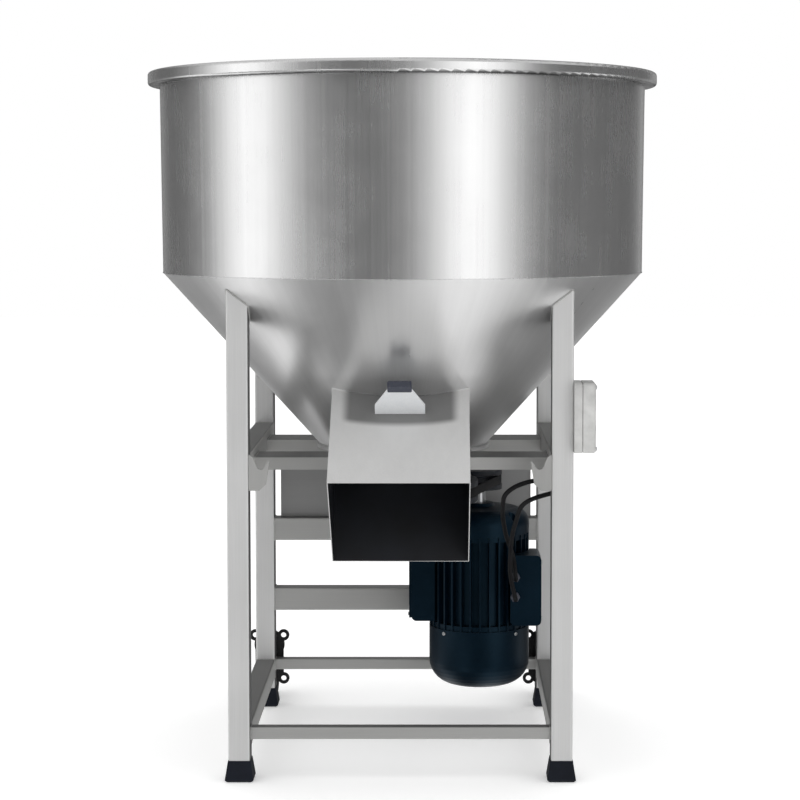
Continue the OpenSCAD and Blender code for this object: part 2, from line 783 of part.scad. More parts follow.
// Pair of pitched blades on a clamping hub
module paddle(z, reach, width, turn) {
    tip_r = width / 3;
    bright_steel() translate([0, 0, cone_z + z]) rotate([0, 0, turn]) difference() {
        union() {
            translate([0, 0, -hub_h / 2]) cylinder(r = hub_d / 2, h = hub_h);
            for (a = [0, 180]) rotate([blade_pitch, 0, a])
                translate([0, 0, -blade_t / 2]) linear_extrude(blade_t) {
                    translate([0, -width / 2]) square([reach - tip_r, width]);
                    translate([reach - 2 * tip_r, -width / 2 + tip_r]) square([2 * tip_r, width - 2 * tip_r]);
                    for (y = [-1, 1]) translate([reach - tip_r, y * (width / 2 - tip_r)]) circle(tip_r);
                }
        }
        translate([0, 0, -hub_h]) cylinder(r = shaft_r + fit_gap, h = 2 * hub_h);
    }
}

module lower_paddle() paddle(low_paddle_z, low_reach, low_blade_w, 20);

module middle_paddle() paddle(mid_paddle_z, mid_reach, blade_w, 110);

module upper_paddle() paddle(top_paddle_z, top_reach, blade_w, 20);

// Washer and nut on each end of the main shaft
module shaft_end_nuts() {
    washer_h = 4;
    nut_h = 13;
    zinc() {
        translate([0, 0, shaft_end_z - washer_h]) cylinder(r = shaft_r + 8, h = washer_h);
        translate([0, 0, shaft_end_z - washer_h - nut_h]) cylinder(r = shaft_r, h = nut_h, $fn = 6);
        translate([0, 0, shaft_top_z]) cylinder(r = shaft_r + 3, h = washer_h);
        translate([0, 0, shaft_top_z + washer_h]) cylinder(r = shaft_r, h = nut_h, $fn = 6);
    }
}

// Groove of a pulley in section, as wide as the belt and its clearance
module groove(outer_r) {
    mouth = belt_w / 2 + gap / cos(groove_lean) + belt_sink * tan(groove_lean);
    foot = mouth - groove_depth * tan(groove_lean);
    wide = mouth + past * tan(groove_lean);
    polygon([
        [outer_r + past, -wide], [outer_r + past, wide],
        [outer_r - groove_depth, foot], [outer_r - groove_depth, -foot]
    ]);
}

module driven_pulley() {
    pulley_r = driven_pulley_d / 2;
    hub_r = hub_d / 2;
    web_r = pulley_r - groove_depth - 8;
    web_t = 12;
    hole_r = 24;
    dull_steel() translate([0, 0, belt_z]) difference() {
        rotate_extrude() difference() {
            translate([shaft_r + fit_gap, -pulley_h / 2]) square([pulley_r - shaft_r - fit_gap, pulley_h]);
            groove(pulley_r);
            for (y = [web_t / 2, -pulley_h / 2 - past])
                translate([hub_r, y]) square([web_r - hub_r, pulley_h / 2 - web_t / 2 + past]);
        }
        for (a = [0:60:300]) rotate([0, 0, a])
            translate([(web_r + hub_r) / 2, 0, -pulley_h]) cylinder(r = hole_r, h = 2 * pulley_h);
    }
}

// Belt that wraps both pulleys, built from one section after another round its closed path
module drive_belt() {
    wrap = 90 - belt_lean;
    big_steps = 48;
    small_steps = 24;
    stations = concat(
        [for (i = [0:big_steps]) [0, belt_out_big, wrap + (360 - 2 * wrap) * i / big_steps]],
        [for (i = [0:small_steps]) [belt_length, belt_out_small, -wrap + 2 * wrap * i / small_steps]]
    );
    section = [
        [0, -belt_w / 2], [0, belt_w / 2],
        [-belt_t, belt_w / 2 - belt_narrow], [-belt_t, -belt_w / 2 + belt_narrow]
    ];
    corners = len(section);
    last = len(stations);
    points = [for (s = stations, c = section)
        [s[0] + (s[1] + c[0]) * cos(s[2]), (s[1] + c[0]) * sin(s[2]), c[1]]];
    faces = [for (i = [0:last - 1], k = [0:corners - 1])
        let (a = i * corners, b = (i + 1) % last * corners, n = (k + 1) % corners)
        [a + k, a + n, b + n, b + k]];
    black_rubber() translate([0, 0, belt_z]) rotate([0, 0, belt_turn]) polyhedron(points, faces);
}

// Places a part on the motor axis
module at_motor(z) translate([motor_x, motor_y, z]) children();

module motor_stator() {
    root_r = motor_r - fin_h;
    end_ring_h = 10;
    end_ring_r = motor_r - 3;
    fin_seat = 2;
    fin_out = fin_h - 0.5;
    pad_z = (middle_rail_z + upper_rail_z + motor_rail_h) / 2 - pad_h / 2;
    motor_paint() difference() {
        union() {
            at_motor(stator_z) {
                cylinder(r = root_r, h = stator_h);
                for (z = [0, stator_h - end_ring_h]) translate([0, 0, z])
                    cylinder(r = end_ring_r, h = end_ring_h);
                for (i = [0:fin_count - 1]) rotate([0, 0, 360 * i / fin_count])
                    translate([root_r - fin_seat, -fin_t / 2, 0])
                        cube([fin_seat + fin_out, fin_t, stator_h]);
            }
            for (s = [-1, 1]) block(
                [motor_x + s * pad_dx / 2 - pad_w / 2, motor_y + root_r / 2, pad_z],
                [motor_x + s * pad_dx / 2 + pad_w / 2, mount_y, pad_z + pad_h]
            );
        }
        at_motor(stator_z - past) cylinder(r = motor_shaft_d / 2 + 1, h = stator_h + 2 * past);
    }
}

// Places a part at each of the four bolts of the end bell
module at_bell_bolts() {
    for (a = [45:90:315]) rotate([0, 0, a]) translate([motor_r - 9, 0, bell_shoulder + 2]) children();
}

module motor_end_bell() {
    boss_r = 26;
    boss_h = 6;
    dome_r = bell_h * 0.55;
    bore_r = motor_shaft_d / 2 + running_gap;
    spot_r = 8;
    head_r = 5.5;
    head_h = 5;
    motor_paint() at_motor(bell_z) {
        difference() {
            rotate_extrude() polygon(concat(
                [[bore_r, 0], [motor_r, 0], [motor_r, bell_shoulder]],
                arc(motor_r - dome_r, bell_shoulder, dome_r, 10, 80, 7),
                [[boss_r + 4, bell_h - boss_h], [boss_r, bell_h], [bore_r, bell_h]]
            ));
            at_bell_bolts() cylinder(r = spot_r, h = bell_h);
        }
        at_bell_bolts() cylinder(r = head_r, h = head_h, $fn = 6);
    }
}

// Profile of the fan cowl, shrunk by a thickness
module cowl_profile(shrink) {
    r = cowl_r - shrink;
    flat = motor_r - cowl_r;
    polygon(concat(
        [[0, cowl_h], [0, shrink]],
        arc(flat, cowl_r, r, -90, 0, 8),
        [[motor_r - shrink, cowl_h]]
    ));
}

module motor_fan_cowl() {
    slot_w = 7;
    slot_in = 16;
    slot_out = 50;
    motor_paint() at_motor(motor_z) difference() {
        rotate_extrude() difference() {
            cowl_profile(0);
            cowl_profile(cowl_t);
            translate([-past, cowl_h - past]) square([motor_r, 2 * past]);
        }
        for (a = [0:30:330]) rotate([0, 0, a]) translate([slot_in, -slot_w / 2, -past])
            cube([slot_out - slot_in, slot_w, cowl_t + 2 * past]);
    }
}

module motor_mount_plate() {
    dull_steel() difference() {
        block(
            [motor_x - mount_w / 2, mount_y, middle_rail_z],
            [motor_x + mount_w / 2, inner_y, upper_rail_z + motor_rail_h]
        );
        at_motor_bolts() translate([0, 0, -mount_t - past])
            cylinder(r = bolt_r + gap, h = mount_t + 2 * past);
    }
}

// Space of the motor body that the boxes beside it sit against
module motor_space() at_motor(motor_z) cylinder(r = motor_r + gap, h = neck_z - motor_z);

// Box with round lower edges, from a low corner to a high corner
module moulded_box(low, high) {
    size = high - low;
    translate([low[0], high[1], low[2]]) rotate([90, 0, 0])
        linear_extrude(size[1]) round_rect(size[0], size[2], box_corner);
}

module terminal_box() {
    into_fins = 26;
    motor_paint() difference() {
        moulded_box(
            [motor_x - motor_r - terminal_out + lid_t, motor_y - terminal_d / 2, box_z],
            [motor_x - motor_r + into_fins, motor_y + terminal_d / 2, box_z + box_h]
        );
        motor_space();
    }
}

module terminal_box_lid() {
    inset = 3;
    lid_r = 6;
    low = [motor_x - motor_r - terminal_out, motor_y - terminal_d / 2 + inset, box_z + box_corner / 2];
    motor_paint() translate(low) rotate([90, 0, 90]) linear_extrude(lid_t - fit_gap)
        round_rect(terminal_d - 2 * inset, box_h - box_corner, lid_r);
}

module capacitor_box() {
    motor_paint() difference() {
        moulded_box(
            [motor_x + capacitor_w, motor_box_front, box_z],
            [motor_x + motor_r + capacitor_out, motor_y - capacitor_back, box_z + box_h]
        );
        motor_space();
    }
}

module motor_shaft() {
    foot_z = motor_z + 22;
    end_z = belt_z + pulley_h / 2 + shaft_end_past;
    bright_steel() at_motor(foot_z) cylinder(r = motor_shaft_d / 2, h = end_z - foot_z);
}

module motor_pulley() {
    dull_steel() at_motor(belt_z) rotate_extrude() difference() {
        translate([motor_shaft_d / 2 + fit_gap, -pulley_h / 2])
            square([motor_pulley_d / 2 - motor_shaft_d / 2 - fit_gap, pulley_h]);
        groove(motor_pulley_d / 2);
    }
}

// Radial fan below the motor
module cooling_fan() {
    blades = 9;
    hub_r = motor_shaft_d;
    fan_r = motor_r * 0.75;
    blade_h = cowl_h * 0.2;
    disc_t = 3;
    black_rubber() at_motor(motor_z + cowl_h / 2) difference() {
        union() {
            cylinder(r = hub_r, h = blade_h + 2 * disc_t);
            translate([0, 0, blade_h]) cylinder(r = fan_r, h = disc_t);
            for (i = [0:blades - 1]) rotate([0, 0, 360 * i / blades])
                translate([hub_r - past, -disc_t / 2, 0]) cube([fan_r - hub_r, disc_t, blade_h + past]);
        }
        translate([0, 0, -past]) cylinder(r = motor_shaft_d / 2 + fit_gap, h = cowl_h);
    }
}

// Outline of the switch box in [y, z] from its low corner, shrunk by an inset
module switch_outline(inset) {
    translate([-leg_y - switch_d / 2 + inset, switch_z + inset])
        round_rect(switch_d - 2 * inset, switch_h - 2 * inset, switch_r - inset);
}

module switch_box_base() {
    steel() {
        difference() {
            along_x(switch_x, switch_x + switch_base_t) switch_outline(0);
            along_x(switch_x + switch_wall, cover_x) switch_outline(switch_wall);
        }
        difference() {
            along_x(switch_x + switch_base_t, cover_x) switch_outline(2);
            along_x(switch_x + switch_base_t - past, cover_x + past) switch_outline(4);
        }
    }
}

module switch_box_cover() {
    crown = 2;
    bezel_w = 5;
    bezel_h = 1;
    steel() difference() {
        union() {
            along_x(cover_x, cover_face_x - crown) switch_outline(0);
            along_x(cover_face_x - crown - past, cover_face_x) switch_outline(crown);
            for (z = button_z) translate([cover_face_x, -leg_y, z]) rotate([0, 90, 0])
                cylinder(r = button_d / 2 + bezel_w, h = bezel_h);
        }
        along_x(cover_x - past, cover_face_x - switch_wall) switch_outline(switch_wall + crown);
        for (z = button_z) translate([cover_x, -leg_y, z]) rotate([0, 90, 0])
            cylinder(r = button_d / 2 + gap, h = switch_cover_t + bezel_h + past);
    }
}

// Push button with a collar behind the cover
module push_button(z) {
    collar_w = 3;
    collar_h = 9;
    depth = switch_wall + collar_h;
    translate([cover_face_x - depth, -leg_y, z]) rotate([0, 90, 0]) {
        cylinder(r = button_d / 2, h = depth + button_out);
        cylinder(r = button_d / 2 + collar_w, h = collar_h - gap);
    }
}

module start_button() color([0.1, 0.5, 0.2]) push_button(button_z[0]);

module stop_button() color([0.75, 0.08, 0.06]) push_button(button_z[1]);

// Cable gland along Z: a hexagon against the housing and a tapered nose that ends at the lead
module gland() {
    cylinder(r = gland_r + 1.5, h = gland_hex_h, $fn = 6);
    translate([0, 0, gland_hex_h]) cylinder(r1 = gland_r, r2 = lead_r + 1, h = gland_h - gland_hex_h);
}

module cable_glands() {
    black_rubber() {
        for (z = leg_gland_z) translate([leg_x, -inner_y, z]) rotate([-90, 0, 0]) gland();
        for (z = motor_gland_z) translate([motor_gland_x, motor_box_front, z]) rotate([90, 0, 0]) gland();
    }
}

// Round lead swept along its route, with a ring every half of the way between two points
module lead(route) {
    sides = 10;
    rings = 2 * (len(route) - 1);
    spine = [for (i = [0:rings]) on_curve(route, i / 2)];
    along = [for (i = [0:rings]) unit(spine[min(i + 1, rings)] - spine[max(i - 1, 0)])];
    side = [for (i = 0, s = carried([1, 0.3, 0], along[0]); i <= rings;
        i = i + 1, s = i <= rings ? carried(s, along[i]) : s) s];
    points = [for (i = [0:rings], k = [0:sides - 1])
        let (a = 360 * k / sides)
        spine[i] + lead_r * (cos(a) * side[i] + sin(a) * cross(along[i], side[i]))];
    walls = [for (i = [0:rings - 1], k = [0:sides - 1])
        let (a = i * sides + k, b = i * sides + (k + 1) % sides) [a, a + sides, b + sides, b]];
    ends = [[for (k = [0:sides - 1]) k], [for (k = [sides - 1:-1:0]) rings * sides + k]];
    polyhedron(points, concat(walls, ends));
}

module motor_lead() black_rubber() lead(motor_route);

module control_lead() black_rubber() lead(control_route);

// Places a part at each of the four eyelets of a bracket
module at_eyelets() {
    for (sx = [-1, 1], z = [ear_z, ear_z + ear_dz]) translate([sx * ear_dx / 2, 0, z]) children();
}

// Cast bracket behind a rear leg: a plate with four eyelets, two cheeks and a round head over the wheel
module wheel_bracket() {
    base_y = frame_d / 2 + gap;
    plate_past = 6;
    head_r = ear_dx / 2 + 2;
    head_z = ear_z + ear_dz - 19;
    cheek_r = 22;
    cheek_foot = 12;
    black_rubber() difference() {
        union() {
            translate([0, base_y + bracket_t, 0]) {
                at_eyelets() rotate([90, 0, 0]) cylinder(r = ear_d / 2, h = bracket_t);
                translate([0, 0, head_z]) rotate([90, 0, 0]) cylinder(r = head_r, h = bracket_t);
            }
            block(
                [-ear_dx / 2, base_y, ear_z - plate_past],
                [ear_dx / 2, base_y + bracket_t, ear_z + ear_dz + plate_past]
            );
            difference() {
                union() {
                    block(
                        [-fender_w / 2, base_y, wheel_z - cheek_foot],
                        [fender_w / 2, wheel_y, wheel_z + cheek_r]
                    );
                    translate([-fender_w / 2, wheel_y, wheel_z]) rotate([0, 90, 0])
                        cylinder(r = cheek_r, h = fender_w);
                }
                block(
                    [-cheek_in, base_y + bracket_t, -past],
                    [cheek_in, wheel_y + wheel_d, wheel_z + wheel_d]
                );
            }
        }
        translate([0, base_y + bracket_t + past, 0]) at_eyelets() rotate([90, 0, 0])
            cylinder(r = ear_hole_d / 2, h = bracket_t + 2 * past);
        translate([-fender_w, wheel_y, wheel_z]) rotate([0, 90, 0])
            cylinder(r = axle_d / 2 + running_gap, h = 2 * fender_w);
    }
}

module wheel_brackets() {
    for (s = [-1, 1]) translate([s * wheel_x, 0, 0]) wheel_bracket();
}

// Rubber tyred wheel with its axle
module wheel(side_x) {
    dish_r = 7;
    tyre_chamfer = 5;
    axle_past = 4;
    color([0.1, 0.1, 0.11]) translate([side_x * wheel_x, wheel_y, wheel_z]) rotate([0, 90, 0]) {
        rotate_extrude() difference() {
            translate([0, -wheel_w / 2]) square([wheel_r, wheel_w]);
            for (s = [-1, 1]) translate([wheel_r * 0.55, s * (wheel_w / 2 + 2)]) circle(dish_r);
            for (s = [-1, 1]) translate([wheel_r, s * wheel_w / 2]) rotate(45)
                square(tyre_chamfer, center = true);
        }
        translate([0, 0, -fender_w / 2 - axle_past]) cylinder(r = axle_d / 2, h = fender_w + 2 * axle_past);
    }
}

leg(-1, -1);  // leg_front_left
leg(1, -1);  // leg_front_right
leg(-1, 1);  // leg_rear_left
leg(1, 1);  // leg_rear_right
foot(-1, -1);  // foot_front_left
foot(1, -1);  // foot_front_right
foot(-1, 1);  // foot_rear_left
foot(1, 1);  // foot_rear_right
front_lower_rail();
rear_lower_rail();
side_lower_rail(-1);  // side_lower_rail_left
side_lower_rail(1);  // side_lower_rail_right
side_upper_rail(-1);  // side_upper_rail_left
side_upper_rail(1);  // side_upper_rail_right
rear_middle_rail();
rear_upper_rail();
support_channel(-1);  // front_support_channel
support_channel(1);  // rear_support_channel
hook_plate(-1);  // hook_plate_left
hook_plate(1);  // hook_plate_right
rear_guard_panel();
barrel();
rim_band();
hopper_cone();
hopper_floor();
discharge_chute();
outlet_neck();
gate_plate();
gate_grip();
bearing_housing();
shaft_bearings();
shaft_seal();
assembly_bolts();
main_shaft();
lower_paddle();
middle_paddle();
upper_paddle();
shaft_end_nuts();
driven_pulley();
motor_stator();
motor_end_bell();
motor_fan_cowl();
motor_mount_plate();
terminal_box();
terminal_box_lid();
capacitor_box();
motor_shaft();
motor_pulley();
cooling_fan();
drive_belt();
switch_box_base();
switch_box_cover();
start_button();
stop_button();
cable_glands();
motor_lead();
control_lead();
wheel_brackets();
wheel(-1);  // wheel_left
wheel(1);  // wheel_right
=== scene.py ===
"""Finishes, leads, welds and small trim of the powder mixer, in metres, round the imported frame."""

import json
import math

import bmesh
import bpy
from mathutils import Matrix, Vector


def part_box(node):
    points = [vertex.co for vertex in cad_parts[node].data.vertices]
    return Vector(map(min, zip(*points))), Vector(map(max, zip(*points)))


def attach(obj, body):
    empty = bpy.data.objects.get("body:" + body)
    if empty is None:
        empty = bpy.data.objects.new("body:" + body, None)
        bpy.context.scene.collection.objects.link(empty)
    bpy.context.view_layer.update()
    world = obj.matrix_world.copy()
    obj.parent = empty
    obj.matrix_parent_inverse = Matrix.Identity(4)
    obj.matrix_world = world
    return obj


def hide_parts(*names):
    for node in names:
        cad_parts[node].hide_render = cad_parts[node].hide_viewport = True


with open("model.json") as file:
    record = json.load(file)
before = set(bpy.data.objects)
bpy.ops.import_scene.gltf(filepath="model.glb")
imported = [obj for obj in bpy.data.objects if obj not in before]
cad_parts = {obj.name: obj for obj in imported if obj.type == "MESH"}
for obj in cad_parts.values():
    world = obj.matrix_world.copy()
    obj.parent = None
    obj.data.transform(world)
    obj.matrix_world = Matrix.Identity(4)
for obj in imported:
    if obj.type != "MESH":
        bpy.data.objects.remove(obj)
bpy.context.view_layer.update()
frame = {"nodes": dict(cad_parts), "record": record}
bpy.context.scene.view_settings.view_transform = "Standard"

MM = 0.001
NODES = frame["nodes"]
SLOTS = {part["node"]: part["material_slot"] for part in frame["record"]["subparts"]}


# ---------------------------------------------------------------- sizes of the solids, in millimetres
FRAME_HALF = 300.0
LEG = 38.0
TUBE_R = 3.5
LEG_AXIS = FRAME_HALF - LEG / 2
INNER = FRAME_HALF - LEG
CONE_FOOT_R, CONE_TOP_R = 155.0, 442.0
CONE_FOOT_Z, SEAM_Z, TOP_Z = 562.0, 881.0, 1245.0
BARREL_TOP_R = 446.0
CONE_SLOPE = (CONE_TOP_R - CONE_FOOT_R) / (SEAM_Z - CONE_FOOT_Z)
# The chute's half width, and as (y, z) its top at the cone, its front edge, its lip and its heel
CHUTE_HALF = 120.0
CHUTE_TOP = (-(CONE_FOOT_R + 109.0 * CONE_SLOPE), 671.0)
CHUTE_EDGE = (-430.0, 542.0)
CHUTE_LIP = (-253.0, 380.0)
CHUTE_HEEL = (-190.3, 556.0)
MOTOR = (145.0, 155.0)
BELT_Z = 474.0


def cone_radius(z):
    """Outside radius of the hopper's cone at a height."""
    return CONE_FOOT_R + (z - CONE_FOOT_Z) * CONE_SLOPE


def cone_height(radius):
    """Height at which the hopper's cone has an outside radius."""
    return CONE_FOOT_Z + (radius - CONE_FOOT_R) / CONE_SLOPE


def barrel_radius(z):
    """Outside radius of the barrel at a height."""
    return CONE_TOP_R + (z - SEAM_Z) * (BARREL_TOP_R - CONE_TOP_R) / (TOP_Z - SEAM_Z)


# ---------------------------------------------------------------- camera, light and floor
CAMERA_PLACE = (0.0715, -3.9652, 1.0041)
CAMERA_PITCH = 3.5
CAMERA_LENS = 95.98
CAMERA_SHIFT = (-0.0518, -0.0805)

# Bands of light that bright metal reflects, as place and half width in degrees, and strength.
# The place is where the band shows on a round body that is seen from the front
SIDE_BANDS = [(-36.5, 11.5, 1.36), (16.4, 10.5, 1.42), (84.0, 9.0, 0.45), (-84.0, 9.0, 0.30)]
SIDE_FILL = 0.03
# The same for metal that leans over the floor, as the cone does
LOW_BANDS = [(-40.0, 10.0, 1.20), (15.5, 14.0, 1.20)]
LOW_FILL = 0.10
# Bands all round, a little below the horizon, for views from above
ROUND_COUNT = 5
ROUND_TURN = 0.0
ROUND_SHARPNESS = 2.5
ROUND_FILL = 0.14
ROUND_STRENGTH = 1.15
TOP_FILL = 0.62
BACK_FILL = 0.02
DIFFUSE_FILL = 1.0
# Where one kind of light turns into the next, in parts of a direction of length one, backwards and upwards
BACK_EDGE = (0.93, 0.985)
ROUND_EDGE = (-0.12, -0.26)
LOW_EDGE = (-0.45, -0.62)
TOP_EDGE = (0.25, 0.7)
FLOOR_SIZE = 30.0
FLOOR_GLOW = 0.24


def make_camera():
    """Camera at the photograph's angle."""
    data = bpy.data.cameras.new("camera")
    data.lens = CAMERA_LENS
    data.shift_x, data.shift_y = CAMERA_SHIFT
    camera = bpy.data.objects.new("camera", data)
    camera.location = CAMERA_PLACE
    camera.rotation_euler = (math.radians(90 - CAMERA_PITCH), 0, 0)
    bpy.context.scene.collection.objects.link(camera)
    bpy.context.scene.camera = camera


class Tree:
    """Short calls that add and link shader nodes."""

    def __init__(self, tree):
        self.tree = tree

    def add(self, kind, inputs=None, **settings):
        node = self.tree.nodes.new("ShaderNode" + kind)
        for name, value in settings.items():
            setattr(node, name, value)
        for key, value in (inputs or {}).items():
            self.put(node.inputs[key], value)
        return node

    def put(self, socket, value):
        if isinstance(value, bpy.types.NodeSocket):
            self.tree.links.new(value, socket)
        else:
            socket.default_value = value

    def math(self, operation, *values, clamp=False):
        node = self.add("Math", operation=operation, use_clamp=clamp)
        for socket, value in zip(node.inputs, values):
            self.put(socket, value)
        return node.outputs[0]

    def fit(self, value, low, high, to_low, to_high, smooth=False):
        """Value moved from one range to another."""
        kind = "SMOOTHSTEP" if smooth else "LINEAR"
        names = ["Value", "From Min", "From Max", "To Min", "To Max"]
        inputs = dict(zip(names, [value, low, high, to_low, to_high]))
        return self.add("MapRange", inputs, interpolation_type=kind).outputs[0]

    def ramp(self, value, edge, start=0.0, end=1.0):
        """Smooth step from one level to another between the two ends of an edge."""
        return self.fit(value, *edge, start, end, smooth=True)

    def between(self, amount, first, second):
        """Value between two values."""
        return self.fit(amount, 0.0, 1.0, first, second)

    def product(self, *values):
        """Product of two or more values."""
        result = values[0]
        for value in values[1:]:
            result = self.math("MULTIPLY", result, value)
        return result

    def blend(self, amount, first, second):
        """Colour between two colours."""
        node = self.add("Mix", data_type="RGBA")
        for index, value in ((0, amount), (6, first), (7, second)):
            self.put(node.inputs[index], value)
        return node.outputs[2]

    def vector(self, x, y, z):
        return self.add("CombineXYZ", {0: x, 1: y, 2: z}).outputs[0]

    def split(self, value):
        return self.add("SeparateXYZ", {0: value}).outputs

    def noise(self, place, scale, detail=2.0, rough=0.5):
        inputs = {"Vector": place, "Scale": scale, "Detail": detail, "Roughness": rough}
        return self.add("TexNoise", inputs).outputs["Fac"]


def band_level(t, angle, bands, fill):
    """Level of soft bands of light over an even fill."""
    level = fill
    for place, half_width, strength in bands:
        from_middle = t.math("SUBTRACT", angle, math.radians(place))
        offset = t.math("DIVIDE", from_middle, math.radians(half_width))
        bell = t.math("EXPONENT", t.product(offset, offset, -1.0))
        level = t.math("ADD", level, t.product(bell, strength))
    return level


def make_world():
    """White for the camera, an even fill for matt surfaces and soft bands of light for bright ones."""
    world = bpy.data.worlds.new("studio")
    world.use_nodes = True
    world.cycles.sampling_method = "NONE"
    bpy.context.scene.world = world
    world.node_tree.nodes.clear()
    t = Tree(world.node_tree)
    x, y, z = t.split(t.add("TexCoord").outputs["Generated"])
    # The turn of the surface that mirrors this direction towards a viewer in front
    angle = t.math("ARCTAN2", x, t.math("SUBTRACT", 1.0, y))
    side = band_level(t, angle, SIDE_BANDS, SIDE_FILL)
    side = t.between(t.ramp(y, BACK_EDGE, 1.0, 0.0), BACK_FILL, side)
    low = band_level(t, angle, LOW_BANDS, LOW_FILL)
    turn = t.product(t.math("ADD", t.math("ARCTAN2", x, y), math.radians(ROUND_TURN)), ROUND_COUNT)
    wave = t.math("POWER", t.fit(t.math("COSINE", turn), -1.0, 1.0, 0.0, 1.0), ROUND_SHARPNESS)
    all_round = t.math("ADD", t.product(wave, ROUND_STRENGTH), ROUND_FILL)
    level = t.between(t.ramp(z, ROUND_EDGE), side, all_round)
    level = t.between(t.ramp(z, LOW_EDGE), level, low)
    level = t.between(t.ramp(z, TOP_EDGE), level, TOP_FILL)
    ray = t.add("LightPath").outputs
    level = t.between(ray["Is Diffuse Ray"], level, DIFFUSE_FILL)
    level = t.between(ray["Is Camera Ray"], level, 1.0)
    background = t.add("Background", {"Color": (1, 1, 1, 1), "Strength": level})
    output = t.add("OutputWorld")
    t.put(output.inputs["Surface"], background.outputs[0])


def make_floor():
    """Plain pale floor."""
    bpy.ops.mesh.primitive_plane_add(size=FLOOR_SIZE)
    floor = bpy.context.object
    floor.name = "studio_floor"
    material = bpy.data.materials.new("studio_floor")
    material.use_nodes = True
    shader = material.node_tree.nodes["Principled BSDF"]
    shader.inputs["Base Color"].default_value = (0.98, 0.98, 0.98, 1)
    shader.inputs["Roughness"].default_value = 0.9
    shader.inputs["Specular IOR Level"].default_value = 0.0
    shader.inputs["Emission Color"].default_value = (1, 1, 1, 1)
    shader.inputs["Emission Strength"].default_value = FLOOR_GLOW
    floor.data.materials.append(material)
    floor.visible_glossy = False


# ---------------------------------------------------------------- materials
# Radius at which the grain round the hopper has its set fineness, in metres
GRAIN_RADIUS = 0.45
CHUTE_METAL = 0.35
# The painted shade inside the chute starts this deep inside its outer faces, in millimetres
INSIDE_SHADE_DEPTH = 1.4
# Painted shade on the chute's top: its reach from the cone's wall and its half width, in metres
CHUTE_SHADE_REACH = (0.088, 0.112)
CHUTE_SHADE_HALF = (0.086, 0.106)
# Painted shade on the cone round the chute: its half width beside the chute, its top and its front, and the
# seam above it
CONE_SHADE_HALF = (0.121, 0.156)
CONE_SHADE_TOP = (0.694, 0.714)
CONE_SHADE_FRONT = (-0.02, -0.08)
SEAM_EDGE = (0.879, 0.882)
# Height above which faces that look down belong to the rim
RIM_EDGE = (1.0, 1.1)
# Share of a normal at which the painted shade on faces that point one way starts and is full
SHADE_FACING_EDGE = (0.6, 0.9)
# How strongly the painted shade of these zones and faces covers the metal, and how much rougher the cone is
# than the barrel
CHUTE_SHADE_STRENGTH = 0.70
CONE_SHADE_STRENGTH = 0.12
RIM_SHADE = 0.9
CONE_DULLING = 0.08


class Look(Tree):
    """The shader of a material, whose places are in metres on the object."""

    def __init__(self, material):
        self.material = material
        self.material.use_nodes = True
        super().__init__(self.material.node_tree)
        self.shader = self.tree.nodes["Principled BSDF"]
        self.place = self.add("TexCoord").outputs["Object"]

    def set(self, **values):
        """Sets or feeds inputs of the shader, named as base_color stands for Base Color."""
        for name, value in values.items():
            self.put(self.shader.inputs[name.replace("_", " ").title().replace("Ior", "IOR")], value)

    def fed(self, name):
        """What feeds an input of the shader so far."""
        return self.shader.inputs[name].links[0].from_socket

    def spread(self, noise, low, high):
        """A noise, whose values lie mostly between 0.3 and 0.7, moved to a range."""
        return self.fit(noise, 0.3, 0.7, low, high)

    def bump(self, height, depth, edge=0.0):
        """Relief from a height, over edges that are rounded by a small radius."""
        inputs = {"Height": height, "Strength": 1.0, "Distance": depth}
        if edge:
            inputs["Normal"] = self.add("Bevel", {"Radius": edge}, samples=4).outputs[0]
        self.set(normal=self.add("Bump", inputs).outputs[0])

    def stretched(self, along, fine, coarse):
        """Place scaled finely across the grain and coarsely along it."""
        if along == "round":
            x, y, z = self.split(self.place)
            turn = self.math("ARCTAN2", y, x)
            return self.vector(self.product(turn, fine * GRAIN_RADIUS), self.product(z, coarse), 0.0)
        scale = [fine, fine, fine]
        scale["xyz".index(along)] = coarse
        return self.add("Mapping", {"Vector": self.place, "Scale": scale}).outputs[0]


def new_look(name):
    """A look for a new material."""
    return Look(bpy.data.materials.new(name))


def tone(colour, factor=1.0, lift=0.0):
    """A colour made lighter or darker, with its alpha."""
    return [min(1.0, c * factor + lift) for c in colour] + [1]


def brushed(name, colour, rough, metal, along, fine=900.0, coarse=6.0, contrast=0.06, edge=0.8 * MM,
            relief=0.01 * MM):
    """Sheet or tube of steel with fine grain lines, faint stains and slightly varied gloss."""
    look = new_look(name)
    grain = look.noise(look.stretched(along, fine, coarse), 1.0, 3.0, 0.6)
    cloud = look.noise(look.place, 7.0, 4.0, 0.6)
    stain = look.noise(look.stretched(along, 60.0, 1.5), 1.0, 2.0, 0.5)
    shade = look.math("ADD", look.spread(grain, -contrast, contrast), look.spread(cloud, -0.03, 0.03))
    shade = look.math("ADD", shade, look.spread(stain, -0.03, 0.03))
    look.set(base_color=look.blend(look.math("ADD", shade, 0.5), tone(colour, 0.7), tone(colour, 1.3)))
    gloss = look.math("ADD", look.spread(grain, rough - 0.03, rough + 0.03), look.spread(cloud, -0.04, 0.04))
    look.set(metallic=metal, roughness=gloss)
    if relief:
        look.bump(grain, relief, edge)
    return look.material


